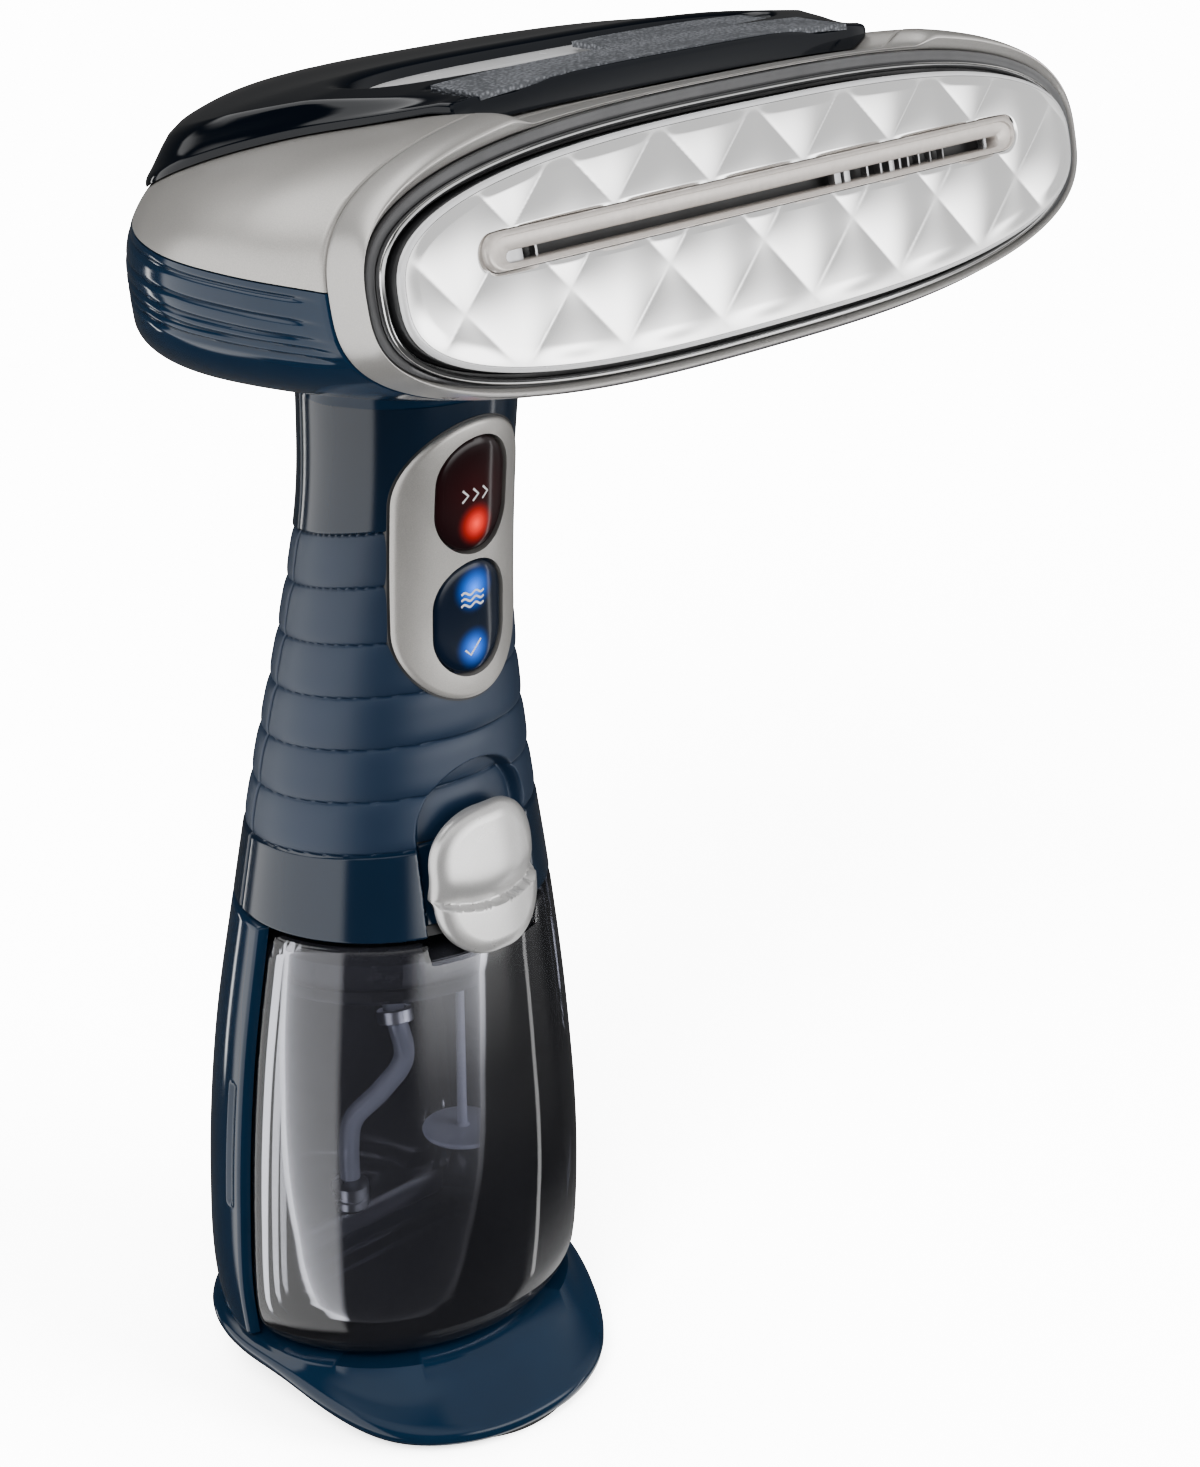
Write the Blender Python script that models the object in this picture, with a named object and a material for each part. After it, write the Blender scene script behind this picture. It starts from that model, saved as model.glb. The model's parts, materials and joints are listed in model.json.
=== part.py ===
"""Handheld garment steamer. Metres, Z up, front towards -Y, symmetric about X = 0."""

import math

import bpy
import bmesh
import numpy as np

GAP = 0.0003
SHELL_WALL = 0.0024

# Head: a body leaning back, measured from the centre of the steam face.
HEAD_TILT = math.radians(13)
FACE_CENTRE = (0.0, -0.105, 0.283)
PLATE_HALF_WIDTH = 0.0846
PLATE_HALF_HEIGHT = 0.0193
OVAL_POWER = 2.74
SLOT_HALF_LENGTH = 0.0657
SLOT_HALF_HEIGHT = 0.0030
SLOT_RISE = 0.0041
PARTING_DEPTH = 0.0115
SPLIT_HEIGHT = 0.283

# Depth behind the face, half width, rise above and drop below the centre line,
# and how square the outline is above and below it.
HEAD_STATIONS = (
    (0.0115, 0.0900, 0.0285, 0.0237, 2.74, 2.74),
    (0.0300, 0.0945, 0.0278, 0.0240, 3.2, 2.4),
    (0.0500, 0.0950, 0.0286, 0.0233, 3.3, 2.1),
    (0.0650, 0.0897, 0.0294, 0.0230, 3.4, 2.0),
    (0.0800, 0.0788, 0.0308, 0.0228, 3.3, 2.0),
    (0.0950, 0.0640, 0.0300, 0.0225, 3.3, 2.0),
    (0.1100, 0.0450, 0.0215, 0.0200, 3.4, 2.0),
    (0.1220, 0.0240, 0.0155, 0.0140, 2.6, 2.2),
    (0.1280, 0.0080, 0.0075, 0.0070, 2.3, 2.3),
)
HEAD_DEPTHS = (0.020, 0.030, 0.038, 0.050, 0.065, 0.080, 0.094, 0.106, 0.116, 0.1235, 0.128)

# A hollow for the fingers along the top edge of the head, in front.
SCOOP_DEPTH = 0.0041
SCOOP_HALF_WIDTH = 0.0460
SCOOP_END = 0.0560

# Height, half width and centre line of the grip, tank and spine.
BODY_STATIONS = (
    (0.012, 0.0405, 0.0035),
    (0.030, 0.0427, 0.0035),
    (0.050, 0.0429, 0.0030),
    (0.085, 0.0404, 0.0025),
    (0.120, 0.0354, 0.0012),
    (0.150, 0.0304, 0.0003),
    (0.180, 0.0257, -0.0024),
    (0.210, 0.0231, -0.0062),
    (0.235, 0.0235, -0.0080),
    (0.265, 0.0240, -0.0090),
)
BODY_DEPTH_RATIO = 0.90
GRIP_BOTTOM = 0.1188
GRIP_TOP = 0.2325
SEAM_ANGLE = 18.0

TANK_BOTTOM = 0.0185
TANK_RIM = 0.1182
TANK_LOW_RIM = 0.1132
TANK_WALL = 0.0020
TANK_BACK = 0.0218
TANK_INSET = 0.0034

FOOT_BOTTOM = 0.0015
FOOT_TOP = 0.0180
FOOT_CENTRE = 0.0040
FOOT_POWER = 2.2
FOOT_SLOPE = 0.39
PAD_THICKNESS = 0.0012

PANEL_LOW, PANEL_HIGH, PANEL_HALF_WIDTH = 0.1690, 0.2290, 0.0166
TURBO_CENTRE, STEAM_CENTRE = 0.2130, 0.1865
BUTTON_HALF_HEIGHT, BUTTON_HALF_WIDTH = 0.0122, 0.0092
BUTTON_TRAVEL = 0.0012
LATCH_LOW, LATCH_HIGH, LATCH_HALF_WIDTH = 0.1140, 0.1460, 0.0140
LATCH_TRAVEL = 0.004

# The hinged cover on top of the head: half width at each depth, and its finger opening.
COVER_EDGE = (
    (0.0165, 0.0510),
    (0.0310, 0.0575),
    (0.0430, 0.0635),
    (0.0530, 0.0705),
    (0.0620, 0.0755),
    (0.0700, 0.0765),
    (0.0790, 0.0725),
    (0.0880, 0.0600),
    (0.0950, 0.0420),
    (0.0990, 0.0250),
    (0.1030, 0.0220),
)
COVER_THICKNESS = 0.0036
COVER_CLEARANCE = 0.0008
WINDOW_DEPTH, WINDOW_HALF_DEPTH, WINDOW_HALF_WIDTH = 0.0440, 0.0125, 0.0520
HINGE_DEPTH, HINGE_RISE = 0.1035, 0.0288
HINGE_HALF_WIDTH = 0.0285
PIN_RADIUS = 0.0010


def clear_scene():
    for item in list(bpy.data.objects):
        bpy.data.objects.remove(item, do_unlink=True)


def material(name, colour, roughness, metallic=0.0, alpha=1.0):
    made = bpy.data.materials.new(name)
    made.use_nodes = True
    shader = made.node_tree.nodes["Principled BSDF"]
    shader.inputs["Base Color"].default_value = (*colour, 1.0)
    shader.inputs["Roughness"].default_value = roughness
    shader.inputs["Metallic"].default_value = metallic
    shader.inputs["Alpha"].default_value = alpha
    return made


def solid(name, points, faces, made_of):
    """A closed mesh object with outward normals and smooth round faces."""
    mesh = bpy.data.meshes.new(name)
    mesh.from_pydata([tuple(map(float, p)) for p in points], [], faces)
    work = bmesh.new()
    work.from_mesh(mesh)
    bmesh.ops.remove_doubles(work, verts=work.verts, dist=1e-7)
    bmesh.ops.dissolve_degenerate(work, edges=work.edges, dist=1e-7)
    bmesh.ops.recalc_face_normals(work, faces=work.faces)
    if work.calc_volume(signed=True) < 0:
        bmesh.ops.reverse_faces(work, faces=work.faces)
    work.to_mesh(mesh)
    work.free()
    mesh.shade_smooth()
    mesh.set_sharp_from_angle(angle=math.radians(32))
    mesh.materials.append(made_of)
    made = bpy.data.objects.new(name, mesh)
    bpy.context.scene.collection.objects.link(made)
    return made


def band(rows, columns, wrap_rows):
    """Quads between neighbouring rows of closed rings."""
    faces = []
    for row in range(rows if wrap_rows else rows - 1):
        after = (row + 1) % rows
        for col in range(columns):
            side = (col + 1) % columns
            faces.append(
                (row * columns + col, row * columns + side, after * columns + side, after * columns + col)
            )
    return faces


def loft(name, rings, made_of):
    """A capped body through closed rings of equal length."""
    rings = [np.asarray(r) for r in rings]
    count = len(rings[0])
    faces = band(len(rings), count, False)
    faces.append(tuple(range(count)))
    faces.append(tuple(range((len(rings) - 1) * count, len(rings) * count)))
    return solid(name, np.concatenate(rings), faces, made_of)


def ring_body(name, rings, made_of):
    """A hoop whose cross-section runs through the rings and back to the first."""
    rings = [np.asarray(r) for r in rings]
    return solid(name, np.concatenate(rings), band(len(rings), len(rings[0]), True), made_of)


def sheet(name, outer, inner, made_of):
    """A plate between two open grids of points of the same size."""
    outer = np.asarray(outer)
    inner = np.asarray(inner)
    rows, cols = outer.shape[:2]
    rings = [np.concatenate([outer[i], inner[i][::-1]]) for i in range(rows)]
    count = 2 * cols
    faces = band(rows, count, False)
    for base in (0, (rows - 1) * count):
        for col in range(cols - 1):
            faces.append((base + col, base + col + 1, base + count - 2 - col, base + count - 1 - col))
    return solid(name, np.concatenate(rings), faces, made_of)


def cut(target, cutter, operation="DIFFERENCE"):
    """Adds a Boolean and hides its tool."""
    step = target.modifiers.new(cutter.name, "BOOLEAN")
    step.operation = operation
    step.solver = "EXACT"
    step.object = cutter
    cutter.hide_render = True
    cutter.display_type = "WIRE"


def smooth(stations, at):
    """Values at one place of a table, on a smooth curve through its rows."""
    table = np.array(stations)
    place, values = table[:, 0], table[:, 1:]
    slopes = np.gradient(values, place, axis=0)
    i = int(np.clip(np.searchsorted(place, at) - 1, 0, len(place) - 2))
    span = place[i + 1] - place[i]
    u = (at - place[i]) / span
    a, b = 2 * u**3 - 3 * u**2 + 1, u**3 - 2 * u**2 + u
    c, d = -2 * u**3 + 3 * u**2, u**3 - u**2
    return a * values[i] + b * span * slopes[i] + c * values[i + 1] + d * span * slopes[i + 1]


def power(value, exponent):
    return np.sign(value) * np.abs(value) ** exponent


def oval(half_width, rise, drop, count=48, exponent=OVAL_POWER, low_exponent=None, raised=0.0):
    """Points (across, up) round a rounded oval."""
    turn = np.linspace(0, 2 * math.pi, count, endpoint=False)
    low = low_exponent or exponent
    shape = np.where(np.sin(turn) >= 0, 2 / exponent, 2 / low)
    across = half_width * power(np.cos(turn), shape)
    up = np.where(np.sin(turn) >= 0, rise, drop) * power(np.sin(turn), shape)
    return across, up + raised


def in_head(across, depth, up):
    """World points from places in the leaning head."""
    across, depth, up = np.broadcast_arrays(
        np.asarray(across, float), np.asarray(depth, float), np.asarray(up, float)
    )
    lean, stand = math.sin(HEAD_TILT), math.cos(HEAD_TILT)
    return np.stack(
        [
            across + FACE_CENTRE[0],
            FACE_CENTRE[1] + depth * stand + up * lean,
            FACE_CENTRE[2] - depth * lean + up * stand,
        ],
        axis=-1,
    )


def face_ring(depth, grow, count=36):
    """A ring parallel to the steam plate's outline."""
    half_height = PLATE_HALF_HEIGHT + grow
    across, up = oval(PLATE_HALF_WIDTH + grow, half_height, half_height, count)
    return in_head(across, depth, up)


def fade(value, full, none):
    """1 up to one place, 0 beyond another, smooth between."""
    share = np.clip((none - np.asarray(value, float)) / (none - full), 0.0, 1.0)
    return share * share * (3 - 2 * share)


def scoop(across, depth, height_share):
    """How far the finger hollow lowers a place near the top of the head."""
    reach = fade(np.abs(across), SCOOP_HALF_WIDTH, SCOOP_END) * fade(depth, 0.030, 0.050)
    return SCOOP_DEPTH * reach * np.clip(height_share, 0.0, 1.0) ** 3


def head_ring(depth, inset=0.0, count=32):
    """The head's outline at one depth behind the face."""
    width, rise, drop, square, low_square = smooth(HEAD_STATIONS, depth)
    across, up = oval(width - inset, rise - inset, drop - inset, count, square, low_square)
    return in_head(across, depth, up - scoop(across, depth, up / rise))


def head_solid(name, inset, front, back, places, count, made_of):
    depths = [front] + [d for d in places if front + 0.004 < d < back - 0.001] + [back]
    return loft(name, [head_ring(d, inset, count) for d in depths], made_of)


def box(name, low, high, made_of):
    corners = [(x, y, z) for x in (low[0], high[0]) for y in (low[1], high[1]) for z in (low[2], high[2])]
    faces = [(0, 1, 3, 2), (4, 6, 7, 5), (0, 4, 5, 1), (2, 3, 7, 6), (0, 2, 6, 4), (1, 5, 7, 3)]
    return solid(name, corners, faces, made_of)


def head_box(name, low, high, made_of):
    """A box lined up with the leaning head."""
    corners = [
        in_head(x, s, v) for x in (low[0], high[0]) for s in (low[1], high[1]) for v in (low[2], high[2])
    ]
    faces = [(0, 1, 3, 2), (4, 6, 7, 5), (0, 4, 5, 1), (2, 3, 7, 6), (0, 2, 6, 4), (1, 5, 7, 3)]
    return solid(name, corners, faces, made_of)


def turned(centre, axis, profile, count):
    """Rings of a round body: the profile gives (radius, distance along the axis) from end to end."""
    axis = np.array(axis, float) / np.linalg.norm(axis)
    side = np.cross(axis, (0.0, 0.0, 1.0) if abs(axis[2]) < 0.9 else (0.0, 1.0, 0.0))
    side /= np.linalg.norm(side)
    other = np.cross(axis, side)
    turn = np.linspace(0, 2 * math.pi, count, endpoint=False)[:, None]
    return [
        np.array(centre) + axis * along + radius * (side * np.cos(turn) + other * np.sin(turn))
        for radius, along in profile
    ]


def rod(name, centre, axis, profile, made_of, count=16):
    """A solid round body along an axis."""
    return loft(name, turned(centre, axis, profile, count), made_of)


def hoop(name, centre, axis, profile, made_of, count=16):
    """A round body with a hole right through."""
    return ring_body(name, turned(centre, axis, profile, count), made_of)


def hose(name, path, radius, made_of, bore=0.0, count=10, steps=5):
    """A round hose through the given places, hollow if it has a bore."""
    path = np.array(path, float)
    place = np.arange(len(path), dtype=float)
    table = np.concatenate([place[:, None], path], axis=1)
    along = np.linspace(0, len(path) - 1, (len(path) - 1) * steps + 1)
    centres = np.array([smooth(table, t) for t in along])
    ahead = np.gradient(centres, axis=0)
    ahead /= np.linalg.norm(ahead, axis=1)[:, None]
    side = np.cross(ahead[0], (0.3, 0.9, 0.2))
    turn = np.linspace(0, 2 * math.pi, count, endpoint=False)[:, None]
    outer, inner = [], []
    for centre, way in zip(centres, ahead):
        side = side - way * side.dot(way)
        side /= np.linalg.norm(side)
        other = np.cross(way, side)
        spoke = side * np.cos(turn) + other * np.sin(turn)
        outer.append(centre + radius * spoke)
        inner.append(centre + bore * spoke)
    if bore:
        return ring_body(name, outer + inner[::-1], made_of)
    return loft(name, outer, made_of)


def body_section(height, inset=0.0):
    """Half width, half depth and centre line of the grip or tank at one height."""
    half, middle = smooth(BODY_STATIONS, height)
    return half - inset, half * BODY_DEPTH_RATIO - inset, middle


def body_arc(height, first, last, count, inset=0.0):
    """Part of the body's outline: 0 degrees is +X and -90 is the front."""
    half, deep, middle = body_section(height, inset)
    turn = np.radians(np.linspace(first, last, count))
    return np.stack(
        [half * np.cos(turn), middle + deep * np.sin(turn), np.full(count, float(height))], axis=-1
    )


def body_front(across, height, out=0.0):
    """The place on the front of the body, moved outwards by a small amount."""
    half, deep, middle = body_section(height)
    share = np.clip(np.asarray(across) / half, -0.98, 0.98)
    y = middle - (deep + out) * np.sqrt(1 - share**2)
    return np.stack([np.asarray(across, float), y, np.full(np.shape(across), float(height))], axis=-1)


def front_pad(name, low, high, half_width, front, back, made_of, rows=9, cols=7, shape=2.6):
    """A rounded plate that follows the front of the grip; front and back say how far out it lies."""
    middle, reach = (low + high) / 2, (high - low) / 2
    turn = np.linspace(-1, 1, rows) * 0.98
    turn = np.sin(turn * math.pi / 2)
    outer, inner = [], []
    for share in turn:
        wide = half_width * (1 - abs(share) ** shape) ** (1 / shape)
        across = np.linspace(-wide, wide, cols)
        height = middle + share * reach
        front_out = front(height) if callable(front) else front
        back_out = back(height) if callable(back) else back
        outer.append(body_front(across, height, front_out))
        inner.append(body_front(across, height, back_out))
    return sheet(name, outer, inner, made_of)


def wall_grid(heights, first, last, count, inset):
    return np.array([body_arc(z, first, last, count, inset) for z in heights])


# The steam face.


def make_steam_plate(finish):
    plate = loft(
        "steam_plate",
        [
            face_ring(0.0040, -0.0004),
            face_ring(0.0, 0.0),
            face_ring(-0.0010, -0.0010),
            face_ring(-0.0013, -0.0030),
        ],
        finish,
    )
    across, up = oval(
        SLOT_HALF_LENGTH + 0.0018, SLOT_HALF_HEIGHT + 0.0018, SLOT_HALF_HEIGHT + 0.0018, 20, 6
    )
    tool = loft("cut_slot", [in_head(across, d, up + SLOT_RISE) for d in (-0.004, 0.008)], finish)
    cut(plate, tool)


def make_slot_frame(finish):
    rings = []
    for grow, depth in (
        (0.0015, 0.0038), (0.0015, -0.0016), (0.0004, -0.0018), (0.0, 0.0), (0.0, 0.0038)
    ):
        across, up = oval(
            SLOT_HALF_LENGTH + grow, SLOT_HALF_HEIGHT + grow, SLOT_HALF_HEIGHT + grow, 20, 6
        )
        rings.append(in_head(across, depth, up + SLOT_RISE))
    ring_body("slot_frame", rings, finish)


def make_slot_grille(finish):
    """A back bar with teeth that stand up in the slot."""
    reach = SLOT_HALF_LENGTH - 0.004
    low, high = SLOT_RISE - 0.0022, SLOT_RISE + 0.0022
    bar_front, bar_back, teeth = 0.0022, 0.0036, 12
    edge = [(-reach, bar_back)]
    for tooth in range(teeth):
        middle = -reach + (tooth + 0.5) * 2 * reach / teeth
        edge += [(middle - 0.0006, bar_front), (middle - 0.0006, 0.0006)]
        edge += [(middle + 0.0006, 0.0006), (middle + 0.0006, bar_front)]
    edge.insert(1, (-reach, bar_front))
    edge += [(reach, bar_front), (reach, bar_back)]
    flat = np.array(edge)
    loft("slot_grille", [in_head(flat[:, 0], flat[:, 1], v) for v in (low, high)], finish)


def make_face_rings(chrome, dark):
    ring_body(
        "plate_trim_ring",
        [
            face_ring(d, g)
            for d, g in (
                (0.0040, 0.0005), (0.0026, 0.0005), (0.0020, 0.0010), (0.0026, 0.0017), (0.0040, 0.0017)
            )
        ],
        chrome,
    )
    ring_body(
        "bezel_gasket",
        [
            face_ring(d, g)
            for d, g in ((0.0040, 0.0021), (0.0030, 0.0021), (0.0028, 0.0040), (0.0040, 0.0040))
        ],
        dark,
    )


def make_bezel(silver):
    """Silver surround: inner edge round the gasket, rounded crest, outer edge at the parting line."""
    width, rise, drop = HEAD_STATIONS[0][1:4]

    def between(share, depth):
        """An oval part of the way from the gasket's outline to the scooped parting line."""
        inner = PLATE_HALF_WIDTH + 0.0044
        inner_across, inner_up = oval(inner, PLATE_HALF_HEIGHT + 0.0044, PLATE_HALF_HEIGHT + 0.0040, 36)
        across, up = oval(width, rise, drop, 36)
        up = up - scoop(across, PARTING_DEPTH, up / rise)
        across = inner_across + share * (across - inner_across)
        up = inner_up + share * (up - inner_up)
        return in_head(across, depth, up)

    back = PARTING_DEPTH - GAP
    ring_body(
        "front_bezel",
        [
            between(0.0, back),
            between(0.0, 0.0036),
            between(0.25, 0.0028),
            between(0.65, 0.0036),
            between(0.92, 0.0066),
            between(1.0, back),
        ],
        silver,
    )


# The head's shells.


def make_head_shells(silver, navy):
    """Upper and lower shells share one hollow form, split on a level plane."""
    far = 0.3
    front = PARTING_DEPTH + GAP / 2
    upper = head_solid("head_upper_housing", 0.0, front, 0.1295, HEAD_DEPTHS, 32, silver)
    inner = (0.030, 0.050, 0.080, 0.106, 0.116)
    hollow = head_solid("cut_head_hollow", SHELL_WALL, 0.0095, 0.1235, inner, 24, navy)
    below = box("cut_below_split", (-far, -far, 0.1), (far, far, SPLIT_HEIGHT + GAP / 2), silver)
    for side in (-1, 1):
        lug = hinge_lug(side, silver)
        cut(lug, hinge_rod("cut_lug_hole", side, 0.0262, 0.0345, PIN_RADIUS + GAP, silver))
        cut(upper, lug, "UNION")
    cut(upper, hollow)
    cut(upper, below)

    low_places = (0.030, 0.050, 0.065, 0.080, 0.094, 0.106, 0.1185)
    lower = head_solid("head_lower_housing", 0.0, front, 0.1295, low_places, 32, navy)
    neck = neck_form("join_neck", 0.0, GRIP_TOP + GAP, 0.262, navy)
    passage = neck_form("cut_neck_passage", SHELL_WALL, GRIP_TOP - 0.004, 0.262, navy)
    above = box("cut_above_split", (-far, -far, SPLIT_HEIGHT - GAP / 2), (far, far, 0.5), navy)
    cut(lower, neck, "UNION")
    cut(lower, hollow)
    cut(lower, passage)
    cut(lower, above)


def neck_form(name, inset, low, high, made_of):
    """The flare from the grip to the underside of the head."""
    rings = []
    for share in (0.0, 0.3, 0.6, 1.0):
        height = low + share * (high - low)
        flare = 0.011 * max(0.0, (height - GRIP_TOP) / 0.0295) ** 2
        half, deep, middle = body_section(min(height, 0.262), inset)
        turn = np.radians(np.arange(0, 360, 15))
        rings.append(
            np.stack(
                [
                    (half + flare) * np.cos(turn),
                    middle + (deep + flare * 0.6) * np.sin(turn),
                    np.full(len(turn), height),
                ],
                axis=-1,
            )
        )
    return loft(name, rings, made_of)


# The hinged cover on top of the head.


def hinge_lug(side, made_of):
    """An ear on the upper housing that holds one end of the cover's hinge."""
    near, far = HINGE_HALF_WIDTH + 0.0004, HINGE_HALF_WIDTH + 0.0040
    low, high = sorted((side * near, side * far))
    return head_box(
        "join_lug",
        (low, HINGE_DEPTH - 0.0030, HINGE_RISE - 0.0090),
        (high, HINGE_DEPTH + 0.0030, HINGE_RISE + 0.0026),
        made_of,
    )


def hinge_rod(name, side, near, far, radius, made_of):
    """A rod on the hinge line, from one distance off the middle to another."""
    centre = in_head(side * near, HINGE_DEPTH, HINGE_RISE)
    return rod(name, centre, (side, 0, 0), [(radius, 0.0), (radius, far - near)], made_of, 14)


def top_rise(across, depth):
    """How high the upper shell stands above the centre line at one place."""
    width, rise, _, square, _ = smooth(HEAD_STATIONS, float(np.clip(depth, PARTING_DEPTH, 0.128)))
    share = min(0.999, abs(across) / width)
    level = (1 - share**square) ** (1 / square)
    return rise * level - scoop(across, depth, level)


def top_points(across, depth, lift):
    """Places at a height above the upper shell."""
    rise = np.array([top_rise(x, s) for x, s in zip(across, depth)])
    return in_head(across, depth, rise + lift)


def cover_plan(share, count=32):
    """A loop in plan, from the cover's edge (0) to the edge of its window (1)."""
    turn = np.linspace(0, 2 * math.pi, count, endpoint=False)
    window_across = WINDOW_HALF_WIDTH * power(np.cos(turn), 2 / 2.6)
    window_depth = WINDOW_DEPTH + WINDOW_HALF_DEPTH * power(np.sin(turn), 2 / 2.6)
    front, back = COVER_EDGE[0][0], COVER_EDGE[-1][0]
    middle = 0.066
    reach = np.where(np.sin(turn) < 0, middle - front, back - middle)
    edge_depth = middle + reach * power(np.sin(turn), 2 / 2.6)
    edge_half = np.array([smooth(COVER_EDGE, depth)[0] for depth in edge_depth])
    edge_across = edge_half * np.sign(np.cos(turn)) * np.minimum(1.0, np.abs(np.cos(turn)) * 3.2)
    across = edge_across + (window_across - edge_across) * share
    depth = edge_depth + (window_depth - edge_depth) * share
    return across, depth


def cover_lift(depth):
    """The cover's underside stands a little further off the shell towards the hinge."""
    return COVER_CLEARANCE + 0.0008 * (1 - fade(depth, 0.060, 0.080))


def cover_loop(share, out):
    across, depth = cover_plan(share)
    return top_points(across, depth, cover_lift(depth) + out)


def make_cover(navy, grey, steel, silver):
    shares = (0.0, 0.16, 0.45, 1.0)
    under = [cover_loop(share, 0.0) for share in shares]
    over = [cover_loop(share, COVER_THICKNESS) for share in reversed(shares)]
    cover = ring_body("top_cover", under + over, navy)
    front = PARTING_DEPTH + GAP / 2
    room = head_solid("cut_cover_room", -0.0008, front, 0.1295, HEAD_DEPTHS, 32, navy)
    cut(cover, room)
    cut(cover, hinge_rod("join_barrel", -1, -HINGE_HALF_WIDTH, HINGE_HALF_WIDTH, 0.0021, navy), "UNION")
    for side in (-1, 1):
        cut(cover, hinge_rod("cut_barrel", side, 0.0235, 0.0300, PIN_RADIUS + GAP, navy))
    cut(
        cover,
        cover_strip("cut_strip_ledge", 0.0463, 0.0174, 0.0292, COVER_THICKNESS - 0.0008, 0.01, grey),
    )
    hang_on(cover, in_head(0.0, HINGE_DEPTH, HINGE_RISE))
    strip = cover_strip(
        "cover_grip_strip",
        0.0460,
        0.0177,
        0.0289,
        COVER_THICKNESS - 0.0005,
        COVER_THICKNESS + 0.0004,
        grey,
    )
    hang_on(strip, in_head(0.0, HINGE_DEPTH, HINGE_RISE))
    for side, label in ((-1, "left"), (1, "right")):
        hinge_rod("cover_pin_" + label, side, 0.0245, 0.0322, PIN_RADIUS, steel)

    rings = []
    turn = np.linspace(0, 2 * math.pi, 24, endpoint=False)
    for grow, lift in ((0.0, 0.0011), (0.0, 0.0018), (-0.0020, 0.0022), (-0.0080, 0.0024)):
        across = (0.0480 + grow) * power(np.cos(turn), 2 / 2.6)
        depth = WINDOW_DEPTH + (0.0098 + grow) * power(np.sin(turn), 2 / 2.6)
        rings.append(top_points(across, depth, lift))
    loft("top_badge", rings, silver)


def cover_strip(name, reach, front, back, low, high, made_of):
    """A strip that follows the front edge of the cover."""
    across = np.linspace(-reach, reach, 9)
    upper, lower = [], []
    for depth in (front, (front + back) / 2, back):
        depths = np.full(9, depth)
        upper.append(top_points(across, depths, cover_lift(depths) + high))
        lower.append(top_points(across, depths, cover_lift(depths) + low))
    return sheet(name, upper, lower, made_of)


# The steam chamber.


def chamber_ring(grow, depth, count=24):
    across, up = oval(0.072 + grow, 0.0150 + grow, 0.0150 + grow, count)
    return in_head(across, depth, up + 0.0005)


def make_boiler(cast, rubber, steel, brass, cream, foil):
    block = loft("boiler_block", [chamber_ring(g, d) for g, d in ((0.0, 0.0044), (0.0, 0.0190))], cast)
    pocket = loft("cut_chamber", [chamber_ring(-0.004, d) for d in (0.0090, 0.0210)], cast)
    port = head_box("cut_steam_port", (-0.060, 0.0040, 0.0020), (0.060, 0.0100, 0.0062), cast)
    cut(block, pocket)
    cut(block, port)
    ring_body(
        "boiler_gasket",
        [
            chamber_ring(g, d)
            for g, d in ((0.0, 0.0193), (0.0, 0.0203), (-0.004, 0.0203), (-0.004, 0.0193))
        ],
        rubber,
    )
    loft(
        "boiler_cover",
        [chamber_ring(g, d) for g, d in ((0.0, 0.0206), (0.0, 0.0225), (-0.0008, 0.0232))],
        cast,
    )
    bend = [
        (-0.058, -0.006),
        (-0.02, -0.0075),
        (0.03, -0.0075),
        (0.056, -0.004),
        (0.056, 0.006),
        (0.03, 0.0085),
    ]
    bend += [(-0.02, 0.0085), (-0.058, 0.0072)]
    hose("heating_element", [in_head(x, 0.0270, v) for x, v in bend], 0.0030, steel, count=6, steps=2)
    back = in_head(0, 1, 0) - in_head(0, 0, 0)
    rod(
        "thermostat",
        in_head(-0.030, 0.0235, 0.0005),
        back,
        [(0.0042, 0), (0.0042, 0.004), (0.0030, 0.009)],
        brass,
        14,
    )
    rod(
        "thermal_fuse",
        in_head(0.018, 0.0235, 0.0005),
        back,
        [(0.0028, 0), (0.0028, 0.008), (0.0014, 0.0100)],
        cream,
        12,
    )
    rod(
        "steam_elbow",
        in_head(-0.002, 0.0235, 0.0005),
        back,
        [(0.0040, 0), (0.0040, 0.002), (0.0026, 0.0022), (0.0026, 0.012)],
        brass,
        14,
    )
    ring_body(
        "heat_shield",
        [
            shield_ring(g, d)
            for g, d in (
                (0.0, 0.0330),
                (0.0, 0.0180),
                (0.0006, 0.0180),
                (0.0006, 0.0336),
                (-0.030, 0.0366),
                (-0.030, 0.0360),
            )
        ],
        foil,
    )


def shield_ring(grow, depth, count=24):
    across, up = oval(0.0775 + grow, max(0.0195 + grow, 0.0060), max(0.0182 + grow, 0.0060), count)
    return in_head(across, depth, up + 0.0005)


# The grip.


def make_grip_shells(navy):
    heights = np.linspace(GRIP_BOTTOM + 0.0024 + GAP, GRIP_TOP, 8)
    half_turn = SEAM_ANGLE
    front = sheet(
        "handle_front_shell",
        wall_grid(heights, -180 - half_turn + 0.4, half_turn - 0.4, 21, 0.0),
        wall_grid(heights, -180 - half_turn + 0.4, half_turn - 0.4, 21, SHELL_WALL),
        navy,
    )
    sheet(
        "handle_rear_shell",
        wall_grid(heights, half_turn + 0.4, 180 - half_turn - 0.4, 15, 0.0),
        wall_grid(heights, half_turn + 0.4, 180 - half_turn - 0.4, 15, SHELL_WALL),
        navy,
    )
    cut(
        front,
        front_pad(
            "cut_panel", PANEL_LOW - GAP, PANEL_HIGH + GAP, PANEL_HALF_WIDTH + GAP, 0.004,
            -0.006, navy, rows=11, shape=3.2,
        ),
    )
    notch = front_pad(
        "cut_latch_bay", 0.0850, 0.1545, LATCH_HALF_WIDTH + 0.0006, 0.006, -0.008, navy, rows=11, shape=5
    )
    cut(front, notch)


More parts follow.
